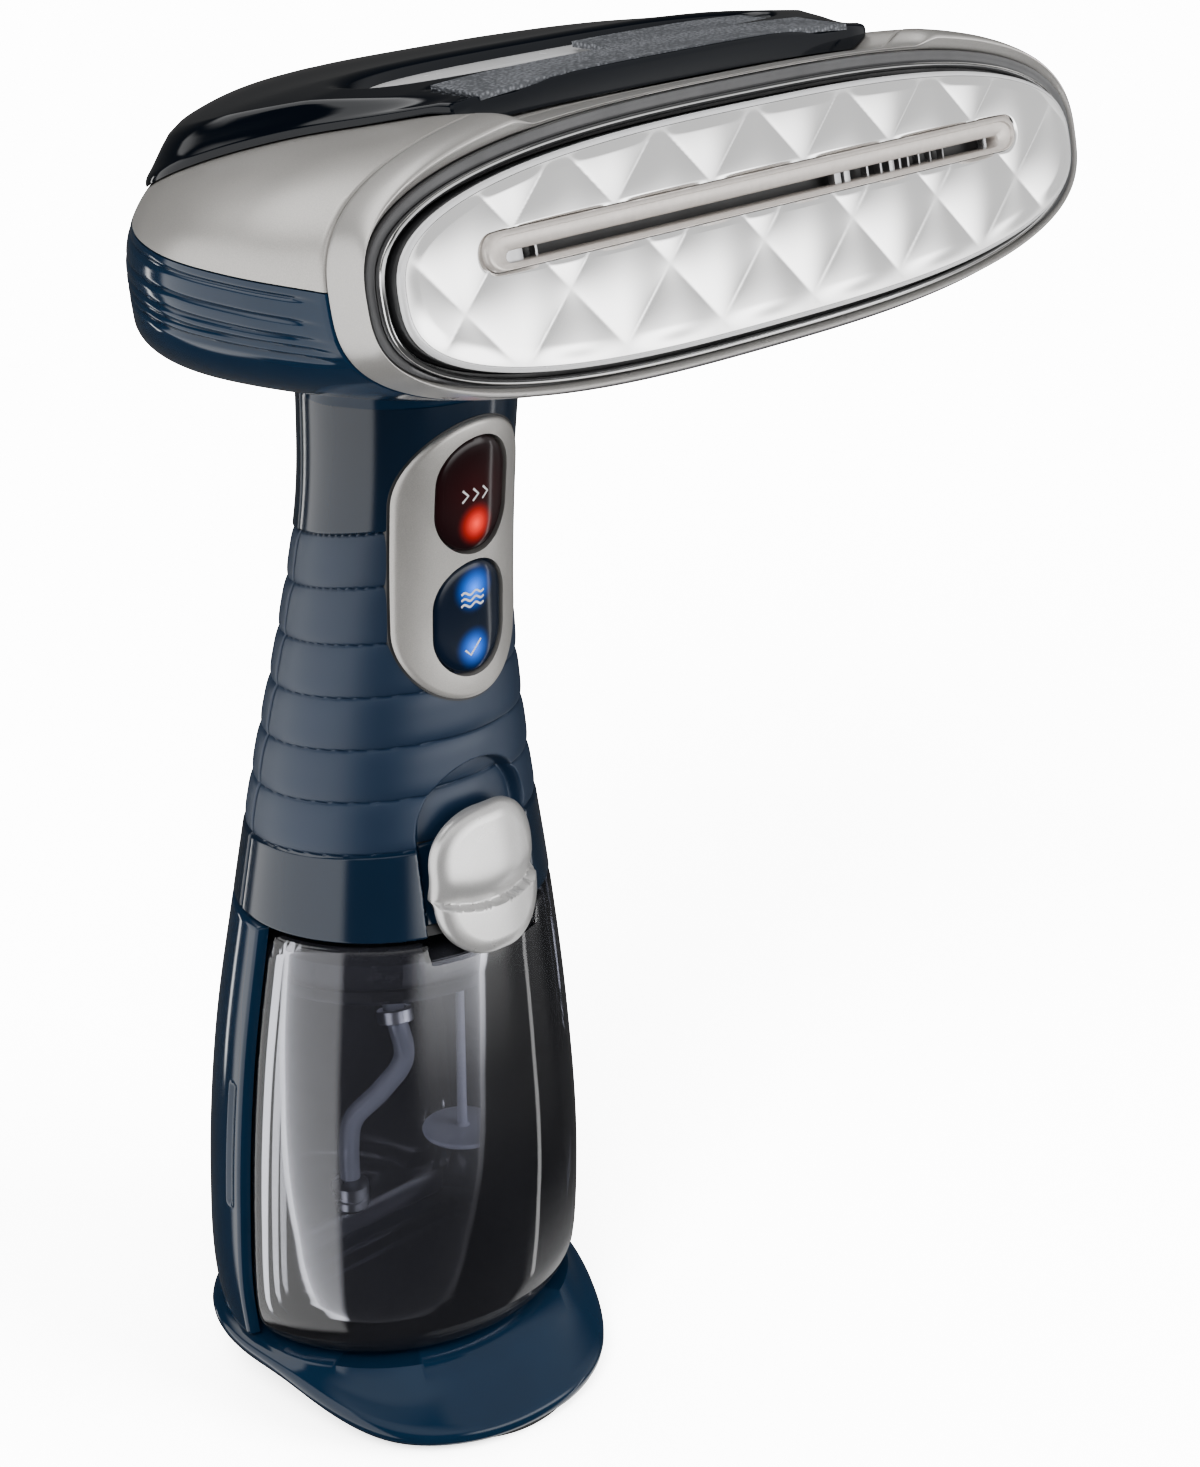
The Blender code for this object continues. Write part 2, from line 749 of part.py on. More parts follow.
def make_grip_floor(navy):
    rings = []
    for height, inset in ((GRIP_BOTTOM, 0.0), (GRIP_BOTTOM + 0.0024, 0.0)):
        arc = body_arc(height, 0, 350, 36, inset)
        rings.append(arc)
    floor = loft("handle_floor", rings, navy)
    cut(
        floor,
        rod("cut_floor_hole", (0, 0.004, 0.110), (0, 0, 1), [(0.0098, 0), (0.0098, 0.02)], navy, 24),
    )
    tool = box("cut_floor_notch", (-0.0146, -0.05, 0.1), (0.0146, -0.0215, 0.13), navy)
    cut(floor, tool)
    wires = box("cut_floor_wires", (-0.012, 0.0255, 0.1), (0.012, 0.0275, 0.13), navy)
    cut(floor, wires)


def make_panel(silver, window, board, black, lamp_red, lamp_blue):
    panel = front_pad(
        "control_panel", PANEL_LOW, PANEL_HIGH, PANEL_HALF_WIDTH, 0.0008, -0.0024, silver,
        rows=11, shape=3.2,
    )
    for name, middle in (("turbo", TURBO_CENTRE), ("steam", STEAM_CENTRE)):
        low, high = middle - BUTTON_HALF_HEIGHT, middle + BUTTON_HALF_HEIGHT
        cut(
            panel,
            front_pad(
                "cut_" + name, low - GAP, high + GAP, BUTTON_HALF_WIDTH + GAP, 0.004, -0.006,
                silver, shape=3,
            ),
        )
        button = front_pad(
            name + "_button", low, high, BUTTON_HALF_WIDTH, 0.0006, -0.0026, window, shape=3
        )
        hang_on(button, body_front(0.0, middle))
    board_front = 0.0056
    grid_front, grid_back = [], []
    for height in (PANEL_LOW + 0.004, PANEL_HIGH - 0.004):
        place = body_front(np.array([-0.0115, 0.0115]), height)
        line = body_front(0.0, height)
        place[:, 1] = line[1] + board_front + 0.0012
        grid_front.append(place.copy())
        place[:, 1] += 0.0016
        grid_back.append(place)
    sheet("button_board", grid_front, grid_back, board)
    for name, middle in (("turbo", TURBO_CENTRE), ("steam", STEAM_CENTRE)):
        y = board_plane(middle)
        box(
            name + "_switch",
            (-0.003, y - 0.0016, middle - 0.008),
            (0.003, y - 0.0003, middle - 0.002),
            black,
        )
        lamp = lamp_red if name == "turbo" else lamp_blue
        rod(
            name + "_lamp",
            (0, board_plane(middle + 0.004) - 0.0004, middle + 0.004),
            (0, -1, 0),
            [(0.0016, 0), (0.0016, 0.0012), (0.0008, 0.0018)],
            lamp,
            12,
        )


def board_plane(height):
    """Where the front of the button board lies at one height."""
    low, high = PANEL_LOW + 0.004, PANEL_HIGH - 0.004
    a, b = body_front(0.0, low)[1], body_front(0.0, high)[1]
    return float(a + (b - a) * (height - low) / (high - low)) + 0.0068


def hang_on(piece, place):
    """Moves a piece's origin to a place without moving its shape."""
    place = np.asarray(place, float).reshape(3)
    for vertex in piece.data.vertices:
        vertex.co.x -= place[0]
        vertex.co.y -= place[1]
        vertex.co.z -= place[2]
    piece.location = tuple(float(v) for v in place)


def latch_front(height):
    """The lip stands further out than the pad above it."""
    return 0.0036 if height < 0.1285 else 0.0026


def latch_back(height):
    """The latch is thinner where it passes over the tank's rim."""
    return 0.0006 if height < GRIP_BOTTOM + 0.0040 else -0.0022


def make_latch(silver, navy, steel):
    """Sliding latch in its bay, the tray behind it and the spring that pushes it down."""
    latch = front_pad(
        "tank_latch",
        LATCH_LOW,
        LATCH_HIGH,
        LATCH_HALF_WIDTH,
        latch_front,
        latch_back,
        silver,
        rows=11,
        shape=4,
    )
    hang_on(latch, body_front(0.0, 0.13))
    front_pad("latch_tray", 0.1216, 0.1545, 0.0165, -0.0040, -0.0052, navy, rows=7, shape=5)
    coil_spring("latch_spring", (0.0, -0.0212, 0.1235), 0.0018, 0.00035, 0.012, 5, steel)


def coil_spring(name, base, radius, wire, length, turns, made_of):
    """A wire coil with its axis upright."""
    path = []
    for step in range(turns * 6 + 1):
        turn = step * math.pi / 3
        height = base[2] + length * step / (turns * 6)
        path.append((base[0] + radius * math.cos(turn), base[1] + radius * math.sin(turn), height))
    hose(name, path, wire, made_of, count=4, steps=1)


# Inside the grip.


def make_pump(black, copper, steel, clear, board):
    middle = -0.0020
    rod(
        "pump_body",
        (0, middle + 0.004, 0.1400),
        (0, 0.03, 1),
        [(0.0050, 0), (0.0065, 0.002), (0.0065, 0.045), (0.0036, 0.047), (0.0036, 0.052)],
        black,
        16,
    )
    axis = np.array([0, 0.03, 1]) / np.linalg.norm([0, 0.03, 1])
    hoop(
        "pump_coil",
        np.array((0, middle + 0.004, 0.1400)) + axis * 0.012,
        axis,
        [(0.0069, 0), (0.0115, 0), (0.0115, 0.022), (0.0069, 0.022)],
        copper,
        20,
    )
    bracket = box("pump_bracket", (-0.0125, -0.0115, 0.1480), (0.0125, 0.0155, 0.1515), steel)
    hole = rod(
        "cut_bracket_hole", (0, middle + 0.004, 0.1400), axis, [(0.0069, 0), (0.0069, 0.03)], steel, 16
    )
    cut(bracket, hole)
    top = np.array((0, middle + 0.004, 0.1400)) + axis * 0.0523
    mouth = in_head(-0.002, 0.0360, 0.0005)
    hose(
        "outlet_hose",
        [
            top,
            (0, 0.002, 0.208),
            (0.002, -0.004, 0.232),
            (0.001, -0.016, 0.256),
            (-0.001, -0.040, 0.271),
            mouth,
        ],
        0.0026,
        clear,
        bore=0.0014,
        count=6,
        steps=2,
    )
    hose(
        "inlet_hose",
        [(0, 0.004, 0.1308), (0.0, 0.0034, 0.1345), (0, 0.0028, 0.1382)],
        0.0030,
        clear,
        bore=0.0016,
        count=8,
        steps=1,
    )
    box("control_board", (-0.0165, 0.0172, 0.1260), (0.0165, 0.0188, 0.1440), board)


# Spine, foot and cord inlet.


def make_spine(navy):
    heights = np.linspace(FOOT_TOP + GAP, GRIP_BOTTOM - GAP, 7)
    spine = sheet(
        "rear_spine",
        wall_grid(heights, 2, 178, 19, 0.0),
        wall_grid(heights, 2, 178, 19, 0.0026),
        navy,
    )
    cut(
        spine,
        rod("cut_cord_hole", (0, 0.020, 0.0330), (0, 1, 0), [(0.0068, 0), (0.0068, 0.04)], navy, 20),
    )


def make_bay_wall(navy):
    heights = np.linspace(FOOT_TOP + GAP, GRIP_BOTTOM - GAP, 7)
    outer, inner = [], []
    for height in heights:
        half, deep, middle = body_section(height, 0.0030)
        y = TANK_BACK + 0.0008
        reach = half * math.sqrt(max(0.01, 1 - ((y + 0.0014 - middle) / deep) ** 2)) - 0.0002
        across = np.array([-reach, reach])
        outer.append(np.stack([across, [y, y], [height, height]], axis=-1))
        inner.append(np.stack([across, [y + 0.0014, y + 0.0014], [height, height]], axis=-1))
    sheet("bay_wall", outer, inner, navy)


def foot_ring(half, front, back, low, high, slope=0.0, base=0.0, count=28):
    """An oval level of the foot; its height follows a slope between two limits."""
    turn = np.linspace(0, 2 * math.pi, count, endpoint=False)
    y = FOOT_CENTRE + np.where(np.sin(turn) < 0, front, back) * power(np.sin(turn), 2 / FOOT_POWER)
    x = half * power(np.cos(turn), 2 / FOOT_POWER)
    return np.stack([x, y, np.clip(base + slope * y, low, high)], axis=-1)


def make_foot(navy, rubber):
    """A narrow sole that flares to a rim; the rim climbs from the front tongue to the back."""
    foot = loft(
        "base_foot",
        [
            foot_ring(0.0290, 0.0480, 0.0360, FOOT_BOTTOM, FOOT_BOTTOM),
            foot_ring(0.0395, 0.0492, 0.0362, 0.0026, 0.0118, FOOT_SLOPE, 0.0136),
            foot_ring(0.0416, 0.0500, 0.0368, 0.0036, 0.0138, FOOT_SLOPE, 0.0156),
            foot_ring(0.0424, 0.0500, 0.0376, 0.0058, 0.0160, FOOT_SLOPE, 0.0186),
            foot_ring(0.0420, 0.0488, 0.0376, 0.0070, 0.0170, FOOT_SLOPE, 0.0200),
            foot_ring(0.0408, 0.0440, 0.0374, 0.0100, 0.0176, FOOT_SLOPE, 0.0215),
            foot_ring(0.0396, 0.0370, 0.0370, FOOT_TOP, FOOT_TOP),
        ],
        navy,
    )
    hollow = loft(
        "cut_foot_hollow",
        [
            foot_ring(0.0250, 0.0430, 0.0320, 0.0, 0.0),
            foot_ring(0.0260, 0.0420, 0.0320, 0.0040, 0.0040),
            foot_ring(0.0260, 0.0330, 0.0300, 0.0120, 0.0120),
        ],
        navy,
    )
    cut(foot, hollow)
    sole = foot_ring(0.0286, 0.0476, 0.0356, 0.0, 0.0)
    loft("base_pad", [sole, sole + (0.0, 0.0, PAD_THICKNESS)], rubber)


def make_gland(black):
    y = 0.0350
    hoop(
        "cord_gland",
        (0, y, 0.0330),
        (0, 1, 0),
        [(0.0064, 0), (0.0064, 0.0095), (0.0052, 0.0110), (0.0036, 0.0110), (0.0036, 0)],
        black,
    )


# The tank.


def tank_ring(height, inset, count=32):
    """The tank's outline: flush with the grip in front, stepped in where the spine wraps it."""
    half, deep, middle = body_section(max(height, 0.012), 0.0)
    turn = np.linspace(0, 2 * math.pi, count, endpoint=False)
    behind = np.clip((np.sin(turn) + 0.06) / 0.04, 0.0, 1.0)
    step = inset + TANK_INSET * behind
    x = (half - step) * np.cos(turn)
    y = middle + (deep - step) * np.sin(turn)
    y = np.minimum(y, TANK_BACK - inset)
    return np.stack([x, y, np.full(count, float(height))], axis=-1)


def make_tank(clear):
    wall = TANK_WALL
    low = TANK_BOTTOM
    outside = [(low, 0.0070), (low + 0.0012, 0.0042), (low + 0.0040, 0.0017), (low + 0.0090, 0.0)]
    outside += [(z, 0.0) for z in (0.050, 0.085, 0.104, TANK_RIM)]
    inside = [(TANK_RIM, wall), (0.104, wall), (0.085, wall), (0.050, wall)]
    inside += [(low + 0.0092, wall), (low + 0.0050, wall + 0.0025), (low + 0.0026, wall + 0.0060)]
    rings = [tank_ring(z, inset) for z, inset in outside + inside]
    tank = loft("tank_shell", rings, clear)
    cut(tank, box("cut_rim_back", (-0.06, -0.0020, TANK_LOW_RIM), (0.06, 0.06, 0.13), clear))
    notch = box("cut_rim_notch", (-0.0149, -0.06, TANK_LOW_RIM + 0.0004), (0.0149, 0.0, 0.13), clear)
    cut(tank, notch)
    hang_on(tank, (0.0, 0.0, TANK_BOTTOM))


def make_tank_lid(dark, rubber, white, clear, steel, smoke):
    wall = TANK_WALL + 0.0008
    rings = [
        tank_ring(z, wall + g)
        for z, g in ((0.1040, 0.0014), (0.1095, 0.0014), (0.1098, 0.0), (TANK_LOW_RIM, 0.0))
    ]
    lid = loft("tank_lid", rings, dark)
    cut(lid, rod("cut_valve_hole", (0, 0.004, 0.10), (0, 0, 1), [(0.0073, 0), (0.0073, 0.02)], dark, 20))
    cut(
        lid,
        rod("cut_cap_hole", (0.0210, 0.001, 0.10), (0, 0, 1), [(0.0055, 0), (0.0055, 0.02)], dark, 20),
    )
    seal = [
        tank_ring(z, TANK_WALL + g)
        for z, g in ((0.1055, 0.0005), (0.1075, 0.0005), (0.1075, 0.0016), (0.1055, 0.0016))
    ]
    ring_body("tank_seal", seal, rubber)
    rod(
        "fill_cap",
        (0.0210, 0.001, 0.1060),
        (0, 0, 1),
        [
            (0.0052, 0),
            (0.0052, TANK_LOW_RIM + GAP - 0.1060),
            (0.0064, TANK_LOW_RIM + GAP - 0.1060),
            (0.0064, 0.0090),
            (0.0058, 0.0098),
        ],
        dark,
        20,
    )
    hoop(
        "tank_valve",
        (0, 0.004, 0.1000),
        (0, 0, 1),
        [
            (0.0034, 0),
            (0.0034, 0.0030),
            (0.0070, 0.0034),
            (0.0070, 0.0132),
            (0.0016, 0.0132),
            (0.0016, 0),
        ],
        white,
    )
    run = [
        (0, 0.004, 0.0990), (-0.001, 0.0030, 0.094), (-0.002, -0.0010, 0.086), (-0.0010, -0.0020, 0.076)
    ]
    run += [
        (-0.006, 0.0, 0.069),
        (-0.0115, 0.0030, 0.063),
        (-0.0125, 0.0040, 0.0560),
        (-0.0125, 0.0040, 0.0480),
    ]
    hose("pickup_hose", run, 0.0024, clear, bore=0.0013, count=6, steps=2)
    hoop(
        "hose_clamp",
        (-0.0020, -0.0010, 0.0850),
        (0.1, 0.3, 1),
        [(0.0028, 0), (0.0040, 0), (0.0040, 0.0030), (0.0028, 0.0030)],
        steel,
        16,
    )
    rod(
        "pickup_weight",
        (-0.0125, 0.0040, 0.0400),
        (0, 0, 1),
        [(0.0034, 0), (0.0042, 0.001), (0.0042, 0.0066), (0.0026, 0.0076)],
        steel,
        16,
    )
    rod(
        "level_disc",
        (0, -0.0200, 0.0645),
        (0, 0, 1),
        [(0.0082, 0), (0.0088, 0.0008), (0.0082, 0.0016), (0.0011, 0.0022), (0.0009, 0.0392)],
        smoke,
        16,
    )


def make_coupling(white):
    hoop(
        "tank_coupling",
        (0, 0.004, TANK_LOW_RIM + GAP),
        (0, 0, 1),
        [
            (0.0020, 0), (0.0090, 0), (0.0090, 0.0080), (0.0125, 0.0080), (0.0125, 0.0100),
            (0.0036, 0.0110), (0.0036, 0.0165), (0.0020, 0.0165),
        ],
        white,
    )


def build():
    clear_scene()
    silver = material("satin_silver", (0.56, 0.54, 0.53), 0.32, 0.85)
    navy = material("gloss_navy", (0.006, 0.017, 0.040), 0.16)
    plate = material("polished_plate", (0.86, 0.85, 0.85), 0.08, 1.0)
    chrome = material("bright_chrome", (0.82, 0.82, 0.83), 0.06, 1.0)
    dark = material("dark_channel", (0.06, 0.06, 0.065), 0.45)
    rubber = material("rubber", (0.02, 0.02, 0.022), 0.75)
    cast = material("cast_aluminium", (0.45, 0.45, 0.46), 0.5, 0.9)
    steel = material("steel", (0.55, 0.55, 0.56), 0.35, 1.0)
    brass = material("brass", (0.62, 0.45, 0.18), 0.35, 1.0)
    cream = material("ceramic_cream", (0.75, 0.70, 0.60), 0.6)
    foil = material("shield_aluminium", (0.65, 0.65, 0.66), 0.4, 0.9)
    grey = material("pebbled_grey", (0.16, 0.17, 0.19), 0.7)
    window = material("window_black", (0.01, 0.012, 0.02), 0.08)
    green = material("board_green", (0.02, 0.12, 0.05), 0.5)
    black = material("moulded_black", (0.015, 0.015, 0.017), 0.45)
    red = material("lamp_red", (0.8, 0.05, 0.03), 0.3)
    blue = material("lamp_blue", (0.05, 0.25, 0.9), 0.3)
    copper = material("copper_coil", (0.55, 0.24, 0.10), 0.4, 1.0)
    clear = material("clear_hose", (0.75, 0.78, 0.80), 0.2, 0.0, 0.5)
    smoke = material("smoked_clear", (0.22, 0.23, 0.28), 0.08, 0.0, 0.4)
    white = material("moulded_white", (0.7, 0.7, 0.7), 0.4)
    disc = material("disc_grey", (0.25, 0.26, 0.32), 0.4)

    make_steam_plate(plate)
    make_slot_frame(silver)
    make_slot_grille(steel)
    make_face_rings(chrome, dark)
    make_bezel(silver)
    make_head_shells(silver, navy)
    make_cover(navy, grey, steel, silver)
    make_boiler(cast, rubber, steel, brass, cream, foil)
    make_grip_shells(navy)
    make_grip_floor(navy)
    make_panel(silver, window, green, black, red, blue)
    make_latch(silver, navy, steel)
    make_pump(black, copper, steel, clear, green)
    make_spine(navy)
    make_bay_wall(navy)
    make_foot(navy, rubber)
    make_gland(black)
    make_tank(smoke)
    make_tank_lid(dark, rubber, white, clear, steel, disc)
    make_coupling(white)


build()
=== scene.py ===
"""Handheld garment steamer: fine surfaces, finishes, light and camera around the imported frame. Metres."""

import json
import math

import bpy
import bmesh
import numpy as np
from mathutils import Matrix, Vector

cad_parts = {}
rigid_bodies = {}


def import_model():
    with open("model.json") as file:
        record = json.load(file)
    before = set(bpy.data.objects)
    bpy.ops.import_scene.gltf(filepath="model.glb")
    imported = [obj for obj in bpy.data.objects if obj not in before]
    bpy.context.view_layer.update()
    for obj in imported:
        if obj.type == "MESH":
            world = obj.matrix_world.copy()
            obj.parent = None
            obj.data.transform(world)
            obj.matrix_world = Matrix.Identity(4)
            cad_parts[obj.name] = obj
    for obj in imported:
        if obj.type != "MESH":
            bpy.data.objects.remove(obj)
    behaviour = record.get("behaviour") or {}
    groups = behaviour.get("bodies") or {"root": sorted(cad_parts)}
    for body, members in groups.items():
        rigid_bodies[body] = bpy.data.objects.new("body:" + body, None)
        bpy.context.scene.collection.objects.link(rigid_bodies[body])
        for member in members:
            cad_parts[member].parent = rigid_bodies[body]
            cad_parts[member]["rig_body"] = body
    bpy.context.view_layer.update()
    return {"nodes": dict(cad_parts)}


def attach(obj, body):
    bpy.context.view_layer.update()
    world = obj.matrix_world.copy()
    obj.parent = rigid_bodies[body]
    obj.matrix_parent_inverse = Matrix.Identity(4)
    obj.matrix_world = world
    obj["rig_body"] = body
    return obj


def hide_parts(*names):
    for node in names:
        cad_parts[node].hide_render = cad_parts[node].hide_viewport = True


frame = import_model()

TILT = math.radians(13)
FACE = np.array([0.0, -0.105, 0.283])
PLATE_W, PLATE_H, OVAL = 0.0846, 0.0193, 2.74
SLOT_L, SLOT_H, SLOT_UP = 0.0657, 0.003, 0.0041
SPLIT_Z = 0.283
PART_S = 0.0115

HEAD = np.array(
    [
        (0.0115, 0.09, 0.0285, 0.0237, 2.74, 2.74), (0.03, 0.0945, 0.0278, 0.024, 3.2, 2.4),
        (0.05, 0.095, 0.0286, 0.0233, 3.3, 2.1), (0.065, 0.0897, 0.0294, 0.023, 3.4, 2.0),
        (0.08, 0.0788, 0.0308, 0.0228, 3.3, 2.0), (0.095, 0.064, 0.03, 0.0225, 3.3, 2.0),
        (0.11, 0.045, 0.0215, 0.02, 3.4, 2.0), (0.122, 0.024, 0.0155, 0.014, 2.6, 2.2),
        (0.128, 0.008, 0.0075, 0.007, 2.3, 2.3),
    ]
)
BODY = np.array(
    [
        (0.012, 0.0405, 0.0035), (0.03, 0.0427, 0.0035), (0.05, 0.0429, 0.003), (0.085, 0.0404, 0.0025),
        (0.12, 0.0354, 0.0012), (0.15, 0.0304, 0.0003), (0.18, 0.0257, -0.0024),
        (0.21, 0.0231, -0.0062), (0.235, 0.0235, -0.008), (0.265, 0.024, -0.009),
    ]
)
COVER_EDGE = np.array(
    [
        (0.0165, 0.051), (0.031, 0.0575), (0.043, 0.0635), (0.053, 0.0705), (0.062, 0.0755),
        (0.07, 0.0765), (0.079, 0.0725), (0.088, 0.06), (0.095, 0.042), (0.099, 0.025), (0.103, 0.022),
    ]
)
SCOOP_DEPTH, SCOOP_X, SCOOP_S = 0.0041, (0.0475, 0.054), (0.03, 0.05)
BODY_DEPTH = 0.9  # depth of the grip over its width
COVER_OVAL = 2.6
COVER_RISE = (
    (0.0128, 0.0006), (0.0178, 0.0012), (0.0299, 0.0036), (0.044, 0.0056), (0.056, 0.0062),
    (0.09, 0.0054),
)
SLOT_V = 0.0029  # middle of the dark slot
PANEL_Z = 0.199
BACKDROP = 14  # brightness of the white seen behind the object
WIN_S, WIN_HALF_S, WIN_HALF_X = 0.044, 0.0125, 0.052
HINGE_S, HINGE_V, HINGE_X = 0.1035, 0.0288, 0.0285
# Level at the middle and slope from back to front of each groove line round the grip.
GRIP_LINES = (
    (0.137, -0.067), (0.148, -0.075), (0.159, -0.087), (0.17, -0.094), (0.181, -0.115), (0.1925, -0.15),
    (0.2035, -0.17),
)
HEAD_LINES = (0.0017, 0.0054, 0.0082, 0.01, 0.0116)

# Even light on every side, and how bright the room is in reflections between the panels.
SOFT_LIGHT, ROOM = 0.55, 0.07

scene = bpy.context.scene


# Camera and light.


def make_camera():
    data = bpy.data.cameras.new("view")
    data.sensor_width = 36
    data.lens = 76.74
    data.clip_start = 0.01
    data.clip_end = 30
    camera = bpy.data.objects.new("view", data)
    scene.collection.objects.link(camera)
    camera.location = (-0.3958, -0.4669, 0.4116)
    camera.rotation_mode = "QUATERNION"
    camera.rotation_quaternion = Vector((0.6444, 0.6576, -0.3902)).to_track_quat("-Z", "Y")
    scene.camera = camera


def area_light(name, place, aim, width, height, power):
    data = bpy.data.lights.new(name, "AREA")
    data.shape = "RECTANGLE"
    data.size = width
    data.size_y = height
    data.energy = power
    light = bpy.data.objects.new(name, data)
    scene.collection.objects.link(light)
    light.visible_glossy = False
    light.location = place
    light.rotation_mode = "QUATERNION"
    light.rotation_quaternion = (Vector(aim) - Vector(place)).to_track_quat("-Z", "Y")


def add_node(tree, kind, inputs=None, **settings):
    """A new shader node; each input is given a value, or the socket that feeds it."""
    made = tree.nodes.new("ShaderNode" + kind)
    for key, value in settings.items():
        setattr(made, key, value)
    for key, value in (inputs or {}).items():
        if isinstance(value, bpy.types.NodeSocket):
            tree.links.new(value, made.inputs[key])
        else:
            made.inputs[key].default_value = value
    return made


class Sky:
    """A dim even room with soft bright panels in it, seen only in reflections."""

    def __init__(self, tree):
        self.tree = tree
        place = add_node(tree, "TexCoord")
        split = add_node(tree, "SeparateXYZ", {0: place.outputs["Generated"]})
        self.around = self.sum("ARCTAN2", split.outputs["Y"], split.outputs["X"])
        self.height = self.sum("ARCSINE", split.outputs["Z"])
        self.total = None

    def sum(self, operation, *values):
        return add_node(self.tree, "Math", dict(enumerate(values)), operation=operation).outputs[0]

    def ramp(self, value, first, last):
        """0 below the first angle, 1 above the last, in degrees."""
        inputs = {"From Min": math.radians(first), "From Max": math.radians(last), "Value": value}
        return add_node(self.tree, "MapRange", inputs, interpolation_type="SMOOTHSTEP").outputs["Result"]

    def panel(self, around, height, soft, strength):
        """A panel between two compass angles and two heights, in degrees."""
        middle, half = (around[0] + around[1]) / 2, (around[1] - around[0]) / 2
        turned = self.sum("SUBTRACT", self.around, math.radians(middle))
        away = self.sum("ABSOLUTE", self.sum("WRAP", turned, math.pi, -math.pi))
        beside = self.sum("SUBTRACT", 1.0, self.ramp(away, half - soft, half + soft))
        above = self.ramp(self.height, height[0] - soft, height[0] + soft)
        below = self.sum("SUBTRACT", 1.0, self.ramp(self.height, height[1] - soft, height[1] + soft))
        lit = self.sum(
            "MULTIPLY", self.sum("MULTIPLY", beside, above), self.sum("MULTIPLY", below, strength)
        )
        self.total = lit if self.total is None else self.sum("ADD", self.total, lit)


# Compass angles, heights, softness (degrees) and brightness.
PANELS = (
    ((112, 205), (-52, 26), 3, 2.7),
    ((256, 318), (-16, 4), 8, 5.0),
    ((262, 352), (-20, 76), 10, 0.85),
    ((330, 405), (-72, -36), 6, 1.4),
    ((60, 165), (38, 70), 6, 3.5),
    ((205, 262), (15, 55), 12, 1.2),
    ((96.5, 99.5), (-24, -6), 0.8, 8.0),
    ((333, 336), (-38, -12), 0.8, 4.0),
)


def make_world():
    world = bpy.data.worlds.new("studio")
    scene.world = world
    world.use_nodes = True
    tree = world.node_tree
    tree.nodes.clear()
    sky = Sky(tree)
    for panel in PANELS:
        sky.panel(*panel)
    white = (1, 1, 1, 1)
    reflected = sky.sum("ADD", sky.total, ROOM)
    seen, soft, mirrored = (
        add_node(tree, "Background", {"Strength": strength, "Color": white}).outputs[0]
        for strength in (BACKDROP, SOFT_LIGHT, reflected)
    )
    path = add_node(tree, "LightPath").outputs
    first = add_node(tree, "MixShader", {0: path["Is Glossy Ray"], 1: soft, 2: mirrored})
    last = add_node(tree, "MixShader", {0: path["Is Camera Ray"], 1: first.outputs[0], 2: seen})
    add_node(tree, "OutputWorld", {"Surface": last.outputs[0]})


def make_light():
    make_world()
    aim = (0, -0.02, 0.2)
    area_light("key", (-0.75, -0.55, 0.95), aim, 0.6, 0.5, 9)
    area_light("front", (0.35, -0.95, 0.55), aim, 0.6, 0.6, 5)


def make_floor():
    size = 3.0
    mesh = bpy.data.meshes.new("floor")
    mesh.from_pydata(
        [(-size, -size, 0), (size, -size, 0), (size, size, 0), (-size, size, 0)], [], [(0, 1, 2, 3)]
    )
    floor = bpy.data.objects.new("floor", mesh)
    scene.collection.objects.link(floor)
    made = bpy.data.materials.new("floor_white")
    made.use_nodes = True
    shader = made.node_tree.nodes["Principled BSDF"]
    shader.inputs["Base Color"].default_value = (0.9, 0.9, 0.9, 1)
    shader.inputs["Roughness"].default_value = 0.6
    mesh.materials.append(made)
    floor.is_shadow_catcher = True
    floor.visible_glossy = False


# Finishes.


